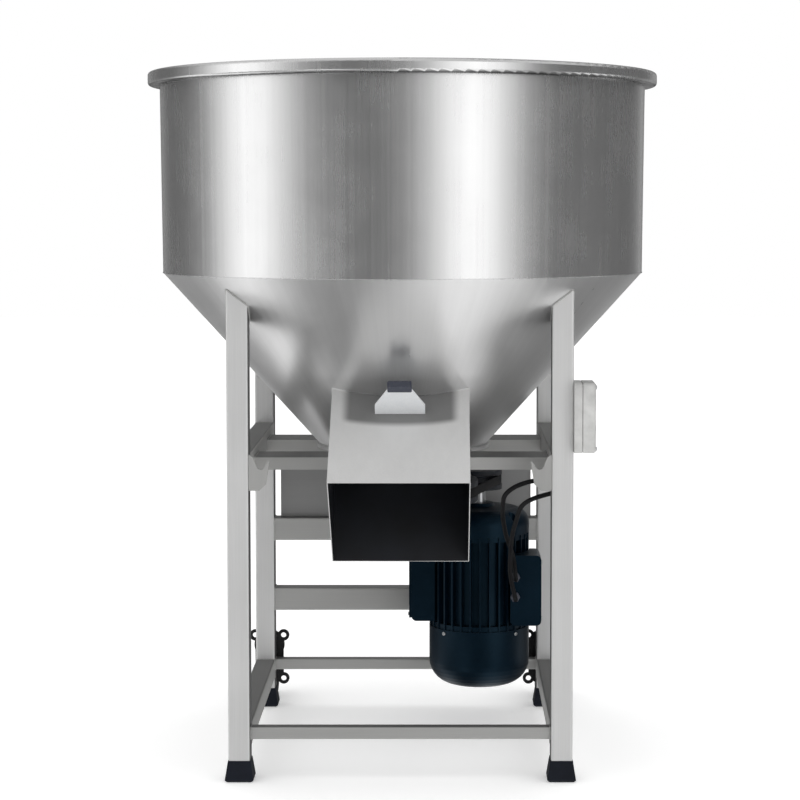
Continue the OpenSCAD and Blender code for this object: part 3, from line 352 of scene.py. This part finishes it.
def painted(name, colour, rough, peel=0.05 * MM, wear=(0.3, 0.3, 0.3), edge=0.8 * MM, dust=0.1, shine=0.5,
            tint=(1.0, 1.0, 1.0)):
    """Paint or moulded plastic with a fine skin, dust and rubbed edges."""
    look = new_look(name)
    skin = look.noise(look.place, 900.0, 2.0, 0.6)
    cloud = look.noise(look.place, 9.0, 5.0, 0.65)
    speck = look.noise(look.place, 160.0, 3.0, 0.7)
    rounded = look.add("Bevel", {"Radius": edge * 1.5}, samples=4).outputs[0]
    flat = look.add("NewGeometry").outputs["Normal"]
    facing = look.add("VectorMath", {0: rounded, 1: flat}, operation="DOT_PRODUCT").outputs["Value"]
    rubbed = look.product(look.fit(facing, 0.97, 0.8, 0.0, 1.0), look.fit(speck, 0.45, 0.62, 0.0, 0.7))
    base = look.blend(look.spread(cloud, 0.0, 1.0), tone(colour, 0.75), tone(colour, 1.4))
    base = look.blend(look.fit(speck, 0.5, 0.8, 0.0, dust), base, (0.35, 0.34, 0.32, 1))
    look.set(base_color=look.blend(rubbed, base, tone(wear)))
    look.set(roughness=look.spread(cloud, rough - 0.07, rough + 0.07))
    look.set(specular_ior_level=shine, specular_tint=tone(tint))
    look.bump(skin, peel, edge)
    return look.material


def rubber(name, colour, rough=0.65, shine=0.3):
    """Rubber with a fine pebbled skin and a bloom of dust."""
    look = new_look(name)
    skin = look.noise(look.place, 1400.0, 3.0, 0.7)
    cloud = look.noise(look.place, 14.0, 5.0, 0.6)
    bloom = look.fit(cloud, 0.35, 0.7, 0.0, 1.0)
    look.set(base_color=look.blend(bloom, tone(colour), tone(colour, 1.7, 0.003)))
    look.set(roughness=look.spread(skin, rough - 0.08, rough + 0.08), specular_ior_level=shine)
    look.bump(skin, 0.06 * MM, 0.8 * MM)
    return look.material


def chute_steel(name, along):
    """Satin sheet painted near black inside as shade, with painted shade on its top along the joint with the
    cone.
    """
    material = brushed(name, (0.71, 0.71, 0.705), 0.5, CHUTE_METAL, along)
    look = Look(material)
    x, y, z = look.split(look.place)
    wide = look.math("ABSOLUTE", x)
    inside = look.math("LESS_THAN", wide, (CHUTE_HALF - INSIDE_SHADE_DEPTH) * MM)
    for foot, edge in ((CHUTE_TOP, CHUTE_EDGE), (CHUTE_LIP, CHUTE_HEEL)):
        run = (Vector(edge) - Vector(foot)).normalized()
        inward = Vector((-run.y, run.x))
        offset = inward.dot(Vector(foot)) * MM
        depth = look.math("ADD", look.product(y, inward.x), look.product(z, inward.y))
        depth = look.math("SUBTRACT", depth, offset)
        inside = look.product(inside, look.math("GREATER_THAN", depth, INSIDE_SHADE_DEPTH * MM))
    # Painted shade on the chute's top next to the cone's wall
    radius = look.math("SQRT", look.math("ADD", look.product(x, x), look.product(y, y)))
    wall = look.fit(z, CONE_FOOT_Z * MM, SEAM_Z * MM, CONE_FOOT_R * MM, CONE_TOP_R * MM)
    away = look.math("SUBTRACT", radius, wall)
    shade_zone = look.ramp(away, CHUTE_SHADE_REACH, 1.0, 0.0)
    shade_zone = look.product(shade_zone, look.ramp(wide, CHUTE_SHADE_HALF, 1.0, 0.0))
    colour = look.blend(look.product(shade_zone, CHUTE_SHADE_STRENGTH), look.fed("Base Color"), (0.02, 0.02, 0.021, 1))
    # Painted shade: the inside of the chute is coloured near black, with no metal
    cloud = look.noise(look.place, 12.0, 4.0, 0.6)
    inside_shade = look.blend(look.spread(cloud, 0.0, 1.0), (0.0012, 0.0018, 0.004, 1), (0.004, 0.006, 0.012, 1))
    look.set(base_color=look.blend(inside, colour, inside_shade))
    look.set(metallic=look.between(inside, CHUTE_METAL, 0.0))
    return material


def hopper_steel(name):
    """Bright sheet with upright grain, softer on the cone, with painted shade beside the chute and under the
    rim.
    """
    material = brushed(name, (0.82, 0.82, 0.82), 0.25, 0.88, "round", 150.0, 0.35, 0.03, edge=0.0, relief=0.0)
    look = Look(material)
    x, y, z = look.split(look.place)
    # Painted shade on the cone round the chute, below the seam
    wide = look.math("ABSOLUTE", x)
    beside = look.ramp(wide, CONE_SHADE_HALF, 1.0, 0.0)
    above = look.ramp(z, CONE_SHADE_TOP, 1.0, 0.0)
    front = look.ramp(y, CONE_SHADE_FRONT)
    below_seam = look.fit(z, *SEAM_EDGE, 1.0, 0.0)
    shade_zone = look.product(look.product(beside, above), look.product(front, below_seam))
    colour = look.blend(look.product(shade_zone, CONE_SHADE_STRENGTH), look.fed("Base Color"), (0.06, 0.06, 0.062, 1))
    # Painted shade on the rim's faces that look down
    down = look.product(look.split(look.add("TexCoord").outputs["Normal"])[2], -1.0)
    underside_shade = look.product(look.fit(down, *SHADE_FACING_EDGE, 0.0, RIM_SHADE), look.fit(z, *RIM_EDGE, 0.0, 1.0))
    look.set(base_color=look.blend(underside_shade, colour, (0.01, 0.01, 0.011, 1)))
    look.set(roughness=look.math("ADD", look.fed("Roughness"), look.product(below_seam, CONE_DULLING)))
    return material


def shaded_tube(name, colour, metal, along, shade, facing):
    """Satin tube whose inner or upper faces are darkened with painted shade."""
    material = brushed(name, colour, 0.55, metal, along)
    look = Look(material)
    x = look.split(look.place)[0]
    normal = look.split(look.add("TexCoord").outputs["Normal"])
    if facing == "inward":
        # The share of the normal that points to the hopper's axis
        toward = look.product(normal[0], look.math("SIGN", x), -1.0)
    else:
        toward = normal[2]
    # Painted shade on the faces that point inward or up
    facing_shade = look.fit(toward, *SHADE_FACING_EDGE, 0.0, shade)
    look.set(base_color=look.blend(facing_shade, look.fed("Base Color"), (0.015, 0.015, 0.016, 1)))
    return material


# How each slot of the record is made, from the material's name and the axis along which its grain runs
FINISHES = {
    "polished_sheet": lambda name, along: hopper_steel(name),
    "leg_tube": lambda name, along: shaded_tube(name, (0.78, 0.78, 0.77), 0.62, along, 0.85, "inward"),
    "rail_tube": lambda name, along: shaded_tube(name, (0.54, 0.54, 0.53), 0.75, along, 0.6, "upward"),
    "panel_sheet": lambda name, along: brushed(name, (0.36, 0.36, 0.36), 0.5, 0.7, along),
    "chute_sheet": chute_steel,
    "zinc_steel": lambda name, along: brushed(name, (0.90, 0.95, 1.0), 0.45, 0.1, along, 300.0, 80.0),
    "machined_steel": lambda name, along: brushed(name, (0.60, 0.61, 0.62), 0.3, 1.0, along),
    "motor_paint": lambda name, along: painted(
        name, (0.0005, 0.0042, 0.0095), 0.40, wear=(0.03, 0.04, 0.05), dust=0.004, shine=0.28,
        tint=(0.35, 0.7, 1.0)),
    "cast_iron": lambda name, along: painted(name, (0.010, 0.013, 0.020), 0.5, 0.2 * MM, dust=0.05),
    "grey_box": lambda name, along: painted(name, (0.50, 0.50, 0.49), 0.42, wear=(0.5, 0.5, 0.5), dust=0.03),
    "black_cast": lambda name, along: painted(
        name, (0.004, 0.004, 0.005), 0.5, 0.15 * MM, wear=(0.12, 0.12, 0.12)),
    "black_plastic": lambda name, along: painted(name, (0.045, 0.05, 0.07), 0.5, wear=(0.12, 0.13, 0.15)),
    "green_button": lambda name, along: painted(
        name, (0.01, 0.20, 0.05), 0.3, 0.01 * MM, wear=(0.1, 0.35, 0.15), dust=0.02),
    "red_button": lambda name, along: painted(
        name, (0.42, 0.012, 0.008), 0.3, 0.01 * MM, wear=(0.5, 0.1, 0.08), dust=0.02),
    "rubber_foot": lambda name, along: rubber(name, (0.002, 0.004, 0.010), 0.7),
    "wheel_rubber": lambda name, along: rubber(name, (0.006, 0.006, 0.007)),
    "black_rubber": lambda name, along: rubber(name, (0.002, 0.002, 0.003), 0.55, 0.2),
}


def slot_material(slot, along):
    """The material of a slot in the record, with its grain along an axis."""
    name = f"{slot}_{along}"
    if name not in bpy.data.materials:
        FINISHES[slot](name, along)
    return bpy.data.materials[name]


def long_axis(node):
    """The axis along which a node is longest."""
    low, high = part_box(node)
    size = list(high - low)
    return "xyz"[size.index(max(size))]


def dress_nodes():
    """Gives each CAD node the material of its slot."""
    for name, node in NODES.items():
        node.data.materials.clear()
        node.data.materials.append(slot_material(SLOTS[name], long_axis(name)))


# ---------------------------------------------------------------- small shapes
# Pace of the points along a bead or a loop, in millimetres
STEP = 0.8
# Slow swelling of a weld bead, its pitch and the share of the bead's size left at its ends
SWELL, SWELL_PITCH = 0.05, 7.3
BEAD_END = 0.35
# Radius that stands for the middle of a round shape
TIP_R = 0.02


def mesh_piece(name, pile, slot, body, along="z", smooth=True, replaces=()):
    """A new mesh from a pile in millimetres, that rides on a body and takes the finish of a slot."""
    mesh = bpy.data.meshes.new(name)
    mesh.from_pydata([Vector(v) * MM for v in pile.verts], [], pile.faces)
    mesh.update()
    work = bmesh.new()
    work.from_mesh(mesh)
    bmesh.ops.recalc_face_normals(work, faces=work.faces)
    work.to_mesh(mesh)
    work.free()
    for face in mesh.polygons:
        face.use_smooth = smooth
    piece = bpy.data.objects.new(name, mesh)
    bpy.context.scene.collection.objects.link(piece)
    mesh.materials.append(slot_material(slot, along))
    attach(piece, body)
    if replaces:
        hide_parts(*replaces)
    return piece


class Pile:
    """Vertices and faces of several small shapes that become one piece."""

    def __init__(self):
        self.verts = []
        self.faces = []

    def grid(self, rings, closed_along, capped=False):
        """Rings of the same count of points, joined one to the next."""
        start = len(self.verts)
        count = len(rings[0])
        for ring in rings:
            self.verts.extend(ring)
        last = len(rings) if closed_along else len(rings) - 1
        for i in range(last):
            a = start + i * count
            b = start + (i + 1) % len(rings) * count
            for k in range(count):
                n = (k + 1) % count
                self.faces.append((a + k, a + n, b + n, b + k))
        if capped and not closed_along:
            self.faces.append(tuple(start + k for k in range(count)))
            self.faces.append(tuple(start + (len(rings) - 1) * count + k for k in reversed(range(count))))

    def bead(self, points, radius, closed=False, ripple=0.14, pitch=3.2, sides=8):
        """Weld bead with ripples along points that lie close together."""
        points = [Vector(p) for p in points]
        count = len(points)
        rings = []
        along_way = 0.0
        for i, point in enumerate(points):
            before = points[i - 1] if closed or i > 0 else point
            after = points[(i + 1) % count] if closed or i < count - 1 else point
            along = (after - before).normalized()
            if i:
                along_way += (point - points[i - 1]).length
            side = along.cross(Vector((0, 0, 1)))
            if side.length < 0.1:
                side = along.cross(Vector((0, 1, 0)))
            side.normalize()
            up = side.cross(along)
            size = radius * (1 + ripple * math.sin(2 * math.pi * along_way / pitch)
                             + SWELL * math.sin(along_way / SWELL_PITCH))
            ends = BEAD_END if not closed and i in (0, count - 1) else 1.0
            rings.append([
                point + (side * math.cos(a) + up * math.sin(a)) * size * ends
                for a in (2 * math.pi * k / sides for k in range(sides))
            ])
        self.grid(rings, closed, capped=True)

    def turned(self, profile, place, axis, segments=24):
        """Round shape from a profile of (radius, height) pairs, from the middle of its top to its foot."""
        turn = Vector((0, 0, 1)).rotation_difference(Vector(axis)).to_matrix()
        place = Vector(place)
        rings = []
        for radius, height in profile:
            radius = max(radius, TIP_R)
            rings.append([
                place + turn @ Vector((radius * math.cos(a), radius * math.sin(a), height))
                for a in (2 * math.pi * k / segments for k in range(segments))
            ])
        self.grid(rings, False, capped=True)


def line(start, end):
    """Points along a straight line."""
    start, end = Vector(start), Vector(end)
    count = max(2, int((end - start).length / STEP))
    return [start.lerp(end, i / count) for i in range(count + 1)]


def rounded_loop(half_w, half_h, place):
    """Closed loop round a tube's rounded section, where place turns two coordinates into a point."""
    loop = []
    corners = [(1, 1, 0), (-1, 1, 90), (-1, -1, 180), (1, -1, 270)]
    for sx, sy, start in corners:
        for k in range(5):
            a = math.radians(start + 90 / 4 * k)
            loop.append(Vector((sx * (half_w - TUBE_R) + TUBE_R * math.cos(a),
                                sy * (half_h - TUBE_R) + TUBE_R * math.sin(a), 0)))
    points = []
    for i, a in enumerate(loop):
        b = loop[(i + 1) % len(loop)]
        count = max(1, int((b - a).length / STEP))
        points.extend(a.lerp(b, j / count) for j in range(count))
    return [Vector(place(p.x, p.y)) for p in points]


# ---------------------------------------------------------------- leads
CONTROL_ROUTE = [
    (281.0, -239.5, 520.0), (280.8, -231.5, 520.0), (279.1, -220.7, 519.8), (274.3, -209.8, 519.1),
    (266.2, -199.7, 518.1), (253.8, -191.6, 516.5), (237.5, -184.6, 513.6), (220.2, -174.2, 508.0),
    (205.1, -161.8, 500.1), (193.2, -147.7, 490.2), (185.4, -132.4, 478.1), (183.4, -116.7, 464.4),
    (183.3, -99.7, 452.0), (183.8, -82.1, 440.5), (184.9, -65.0, 428.3), (187.1, -49.8, 413.9),
    (190.4, -38.2, 396.7), (195.6, -27.6, 379.4), (201.6, -17.9, 361.7), (206.4, -11.6, 342.3),
    (208.6, -7.7, 324.9), (210.1, 0.0, 312.3), (211.2, 9.8, 303.8), (211.8, 20.7, 299.1),
    (212.0, 31.5, 297.2), (212.0, 39.5, 297.0),
]
MOTOR_ROUTE = [
    (281.0, -239.5, 498.0), (280.9, -231.5, 498.0), (279.3, -220.7, 497.4), (274.7, -209.7, 495.8),
    (267.0, -199.7, 493.0), (255.3, -191.3, 488.8), (241.8, -181.0, 483.1), (229.7, -166.7, 475.9),
    (220.6, -150.9, 467.4), (214.2, -135.0, 457.0), (210.7, -120.1, 444.1), (208.1, -105.2, 430.8),
    (205.4, -89.9, 418.1), (203.0, -75.0, 404.9), (201.1, -61.4, 390.2), (200.0, -50.6, 373.3),
    (199.5, -41.1, 355.6), (199.1, -30.4, 338.6), (199.7, -20.4, 321.2), (202.1, -13.2, 302.6),
    (205.9, -8.4, 285.7), (208.7, -0.2, 273.6), (210.5, 9.7, 265.5), (211.6, 20.7, 260.9),
    (212.0, 31.5, 259.2), (212.0, 39.5, 259.0),
]
LEAD_DIAMETER = 8.5
LEG_GLANDS_Z = (498.0, 520.0)
BOX_GLANDS_Z = (259.0, 297.0)
BOX_GLANDS = (212.0, 62.0)
# Profiles as (radius, height): the six-sided collar, and the nose with its ribs from the tip down
GLAND_COLLAR = [(8.7, 0.0), (9.5, 0.8), (9.5, 6.6), (8.7, 7.8)]
NOSE_TIP = [(0.1, 22.0), (5.0, 22.0)]
NOSE_FOOT = [(8.0, 7.6)]
RIBS, RIB_TOP, RIB_PITCH, RIB_R, RIB_TAPER = 5, 20.6, 2.6, 5.3, 0.2


def lead(name, route, node):
    """Round lead along its route, as one smooth curve."""
    data = bpy.data.curves.new(name, "CURVE")
    data.dimensions = "3D"
    data.bevel_depth = LEAD_DIAMETER / 2 * MM
    data.bevel_resolution = 5
    data.resolution_u = 8
    spline = data.splines.new("BEZIER")
    spline.bezier_points.add(len(route) - 1)
    points = [Vector(p) * MM for p in route]
    last = len(points) - 1
    for i, knot in enumerate(spline.bezier_points):
        reach = (points[min(i + 1, last)] - points[max(i - 1, 0)]) / 6
        knot.handle_left_type = knot.handle_right_type = "FREE"
        knot.co = points[i]
        knot.handle_left = points[i] - reach
        knot.handle_right = points[i] + reach
    data.use_fill_caps = True
    piece = bpy.data.objects.new(name, data)
    bpy.context.scene.collection.objects.link(piece)
    data.materials.append(slot_material("black_rubber", "z"))
    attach(piece, "frame")
    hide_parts(node)


def make_glands():
    """Moulded cable glands: a six-sided collar against the housing and a ribbed, tapered nose."""
    pile = Pile()
    places = [((LEG_AXIS, -INNER, z), (0, 1, 0)) for z in LEG_GLANDS_Z]
    places += [((*BOX_GLANDS, z), (0, -1, 0)) for z in BOX_GLANDS_Z]
    nose = list(NOSE_TIP)
    for k in range(RIBS):
        height = RIB_TOP - RIB_PITCH * k
        crest = RIB_R + (RIB_TOP - height) * RIB_TAPER + 0.25
        groove = crest - 0.6
        nose += [(crest, height), (crest, height - 1.3), (groove, height - 1.5), (groove, height - 2.4)]
    nose += NOSE_FOOT
    for place, axis in places:
        pile.turned(GLAND_COLLAR, place, axis, 6)
        pile.turned(nose, place, axis)
    mesh_piece("gland_mouldings", pile, "black_plastic", "frame", smooth=False, replaces=["cable_glands"])


# ---------------------------------------------------------------- welds
# Ends of the front and rear rails on a leg: y and z of their middle, depth and height
RAIL_ENDS = ((-LEG_AXIS, 84.0, 22.0, 22.0), (LEG_AXIS, 84.0, 22.0, 22.0),
             (LEG_AXIS, 217.5, LEG, 45.0), (LEG_AXIS, 358.5, LEG, 45.0))
SIDE_RAILS_Z = (76.0, 553.0)
CHANNELS_Y = (-142.5, 142.5)
CHANNEL_HALF = 47.5
CHANNEL_SIDE_Z = (535.0, 555.5)
CHANNEL_TOP_Z = 556.3
HOOK_Y = -297.5
HOOK_Z = (513.0, 572.0)
# How far a bead's middle stands off the leg, and how far it is drawn in where both tubes are as wide
STAND_OFF = 0.3
INSET = 0.6


def make_frame_welds():
    """Small fillet beads where the tubes, channels, hooks and legs meet."""
    pile = Pile()
    for sign in (-1, 1):
        x = sign * (INNER - STAND_OFF)
        for y, z, depth, height in RAIL_ENDS:
            inset = 0.0 if depth < LEG else INSET
            pile.bead(rounded_loop(depth / 2 - inset, height / 2, lambda a, b: (x, y + a, z + b)), 1.5, True)
        for y in CHANNELS_Y:
            pile.bead(line((x, y - 47, CHANNEL_TOP_Z), (x, y + 47, CHANNEL_TOP_Z)), 1.5)
            for edge in (y - CHANNEL_HALF, y + CHANNEL_HALF):
                pile.bead(line(*((x, edge, z) for z in CHANNEL_SIDE_Z)), 1.4)
    for sx in (-1, 1):
        for sign in (-1, 1):
            y = sign * (INNER - STAND_OFF)
            for z in SIDE_RAILS_Z:
                loop = rounded_loop(LEG / 2 - INSET, LEG / 2, lambda a, b: (sx * LEG_AXIS + a, y, z + b))
                pile.bead(loop, 1.5, True)
            top = rounded_loop(LEG / 2 - 0.2, LEG / 2 - 0.2,
                               lambda a, b: (sx * LEG_AXIS + a, sign * LEG_AXIS + b, 0.0))
            pile.bead([(p.x, p.y, cone_height(math.hypot(p.x, p.y)) - INSET) for p in top], 1.7, True)
        pile.bead(line(*((sx * (INNER - 0.4), HOOK_Y, z) for z in HOOK_Z)), 1.2)
    mesh_piece("frame_welds", pile, "rail_tube", "frame")


def make_hopper_welds():
    """Dressed seam between barrel and cone, the upright seam at the back and the bead on the floor plate."""
    pile = Pile()
    ring = [2 * math.pi * i / 720 for i in range(720)]
    seam = [(CONE_TOP_R * math.cos(a), CONE_TOP_R * math.sin(a), SEAM_Z) for a in ring]
    pile.bead(seam, 0.9, True, 0.10, 5.0, 6)
    foot = CONE_FOOT_R + 1.0
    pile.bead([(foot * math.cos(a), foot * math.sin(a), CONE_FOOT_Z + 1.0) for a in ring], 2.0, True)
    pile.bead([(0.0, barrel_radius(z), z) for z in range(884, 1220)], 1.0, ripple=0.10)
    pile.bead([(0.0, cone_radius(z) + 0.1, z) for z in range(566, 879)], 1.0, ripple=0.10)
    mesh_piece("hopper_welds", pile, "polished_sheet", "frame", "round")


def chute_on_cone(x):
    """Point where the chute's top meets the cone at a distance from the middle."""
    low, high = -1.0, 1.0
    step = (CHUTE_EDGE[0] - CHUTE_TOP[0], CHUTE_EDGE[1] - CHUTE_TOP[1])
    for _ in range(40):
        t = (low + high) / 2
        y, z = CHUTE_TOP[0] + t * step[0], CHUTE_TOP[1] + t * step[1]
        if math.hypot(x, y) > cone_radius(z):
            high = t
        else:
            low = t
    return Vector((x, y, z))


# Half the way along the chute's top that the gate leaves free of weld, and the foot of its side beads
GATE_HALF = 45.0
SIDE_BEAD_Z = 566.0


def make_chute_welds():
    """Bead along the chute's top and sides where they meet the cone."""
    pile = Pile()
    for start, end in ((-CHUTE_HALF, -GATE_HALF), (GATE_HALF, CHUTE_HALF)):
        count = int((end - start) / STEP)
        pile.bead([chute_on_cone(start + (end - start) * i / count) for i in range(count + 1)], 1.5)
    rise = chute_on_cone(CHUTE_HALF).z - SIDE_BEAD_Z
    steps = int(rise / 0.7)
    heights = [SIDE_BEAD_Z + rise * i / steps for i in range(steps + 1)]
    for sign in (-1, 1):
        x = sign * (CHUTE_HALF + 0.2)
        pile.bead([(x, -math.sqrt(cone_radius(z) ** 2 - CHUTE_HALF ** 2), z) for z in heights], 1.5)
    mesh_piece("chute_welds", pile, "chute_sheet", "frame")


# ---------------------------------------------------------------- belt, screws and buttons
# Radius of the belt's back on each pulley, its section as (depth, height), and its cogs
BIG_R, SMALL_R = 139.0, 43.0
BIG_STEPS, SMALL_STEPS = 180, 60
BELT_SECTION = [(-0.6, -8.5), (0.0, -7.6), (0.15, 0.0), (0.0, 7.6), (-0.6, 8.5), (-10.4, 5.0), (-11.0, 4.2),
                (-11.0, -4.2), (-10.4, -5.0)]
COG_PITCH, COG_DEPTH, COG_FACE = 4.0, 0.6, -9.0


def on_pulley(x, radius, a):
    """Point at an angle of a round path whose middle lies at x."""
    return Vector((x + radius * math.cos(a), radius * math.sin(a)))


def belt_path():
    """Points of the belt's back, each with the angle of its outer side, with the small pulley along x."""
    reach = math.hypot(*MOTOR)
    wrap = math.pi / 2 - math.asin((BIG_R - SMALL_R) / reach)
    big = [wrap + (2 * math.pi - 2 * wrap) * i / BIG_STEPS for i in range(BIG_STEPS + 1)]
    small = [-wrap + 2 * wrap * i / SMALL_STEPS for i in range(SMALL_STEPS + 1)]
    big_run = [(on_pulley(0.0, BIG_R, a), a) for a in big]
    small_run = [(on_pulley(reach, SMALL_R, a), a) for a in small]
    path = []
    for run, after in ((big_run, small_run), (small_run, big_run)):
        path += run
        first, a = run[-1]
        second = after[0][0]
        count = int((second - first).length / COG_PITCH)
        path += [(first.lerp(second, k / count), a) for k in range(1, count)]
    return path


def make_belt():
    """Raw edge belt with a rounded back and moulded cogs on its inner side."""
    turn = math.atan2(MOTOR[1], MOTOR[0])
    rings = []
    way = 0.0
    path = belt_path()
    before = path[0][0]
    for foot, a in path:
        out = Vector((math.cos(a), math.sin(a)))
        way += (foot - before).length
        before = foot
        cog = COG_DEPTH if int(way / COG_PITCH) % 2 else 0.0
        ring = []
        for depth, height in BELT_SECTION:
            flat = foot + out * (depth + cog if depth < COG_FACE else depth)
            ring.append((flat.x * math.cos(turn) - flat.y * math.sin(turn),
                         flat.x * math.sin(turn) + flat.y * math.cos(turn), BELT_Z + height))
        rings.append(ring)
    pile = Pile()
    pile.grid(rings, True)
    piece = mesh_piece("v_belt", pile, "black_rubber", "frame", replaces=["drive_belt"])
    piece.data.set_sharp_from_angle(angle=math.radians(35))


# Profiles as (radius, height) over the face on which they sit
SCREW = [(0.1, 1.0), (1.5, 1.0), (1.6, 2.0), (2.6, 2.1), (3.3, 1.7), (3.7, 0.9), (3.8, 0.1), (3.8, -0.4)]
BUTTON = [(0.1, 0.9), (8.0, 1.0), (9.8, 1.3), (10.9, 1.5), (11.6, 1.2), (12.0, 0.5), (12.0, -3.3),
          (15.0, -3.4), (15.0, -12.0)]
BUTTON_RING = [(12.5, 0.6), (12.6, 1.5), (13.2, 1.9), (16.0, 1.7), (16.9, 1.2), (17.2, 0.2), (17.2, -0.3)]
BUTTONS = (("start_button", 660.28, "green_button"), ("stop_button", 616.72, "red_button"))
COVER_X = 337.0
# Corner screws as (x, side that the heads face, the two y, the two z): switch cover, terminal lid, second box
CORNER_SCREWS = ((COVER_X, 1, (-312.0, -250.0), (585.5, 691.5)), (9.0, -1, (119.5, 190.5), (216.0, 325.0)),
                 (262.0, 1, (72.0, 140.0), (217.0, 324.0)))
COWL_R, COWL_SCREWS_Z = 97.0, 183.0


def make_screws():
    """Socket screws of the switch cover, the terminal lid, the second motor box and the fan cowl."""
    pile = Pile()
    for x, side, places_y, places_z in CORNER_SCREWS:
        for y in places_y:
            for z in places_z:
                pile.turned(SCREW, (x, y, z), (side, 0, 0))
    for turn in (45, 135, 225, 315):
        a = math.radians(turn)
        place = (MOTOR[0] + COWL_R * math.cos(a), MOTOR[1] + COWL_R * math.sin(a), COWL_SCREWS_Z)
        pile.turned(SCREW, place, (math.cos(a), math.sin(a), 0))
    mesh_piece("cover_screws", pile, "machined_steel", "frame", smooth=False)


def make_buttons():
    """Dished push buttons with a metal ring round each, open in the middle."""
    rings = Pile()
    for name, z, slot in BUTTONS:
        place = (COVER_X, -LEG_AXIS, z)
        pile = Pile()
        pile.turned(BUTTON, place, (1, 0, 0), 48)
        mesh_piece(name + "_cap", pile, slot, name, replaces=[name])
        rings.turned(BUTTON_RING, place, (1, 0, 0), 48)
    rings.faces = [face for face in rings.faces if len(face) == 4]
    mesh_piece("button_rings", rings, "machined_steel", "frame")


make_camera()
make_world()
make_floor()
dress_nodes()
lead("control_cable", CONTROL_ROUTE, "control_lead")
lead("motor_cable", MOTOR_ROUTE, "motor_lead")
make_glands()
make_frame_welds()
make_hopper_welds()
make_chute_welds()
make_belt()
make_screws()
make_buttons()
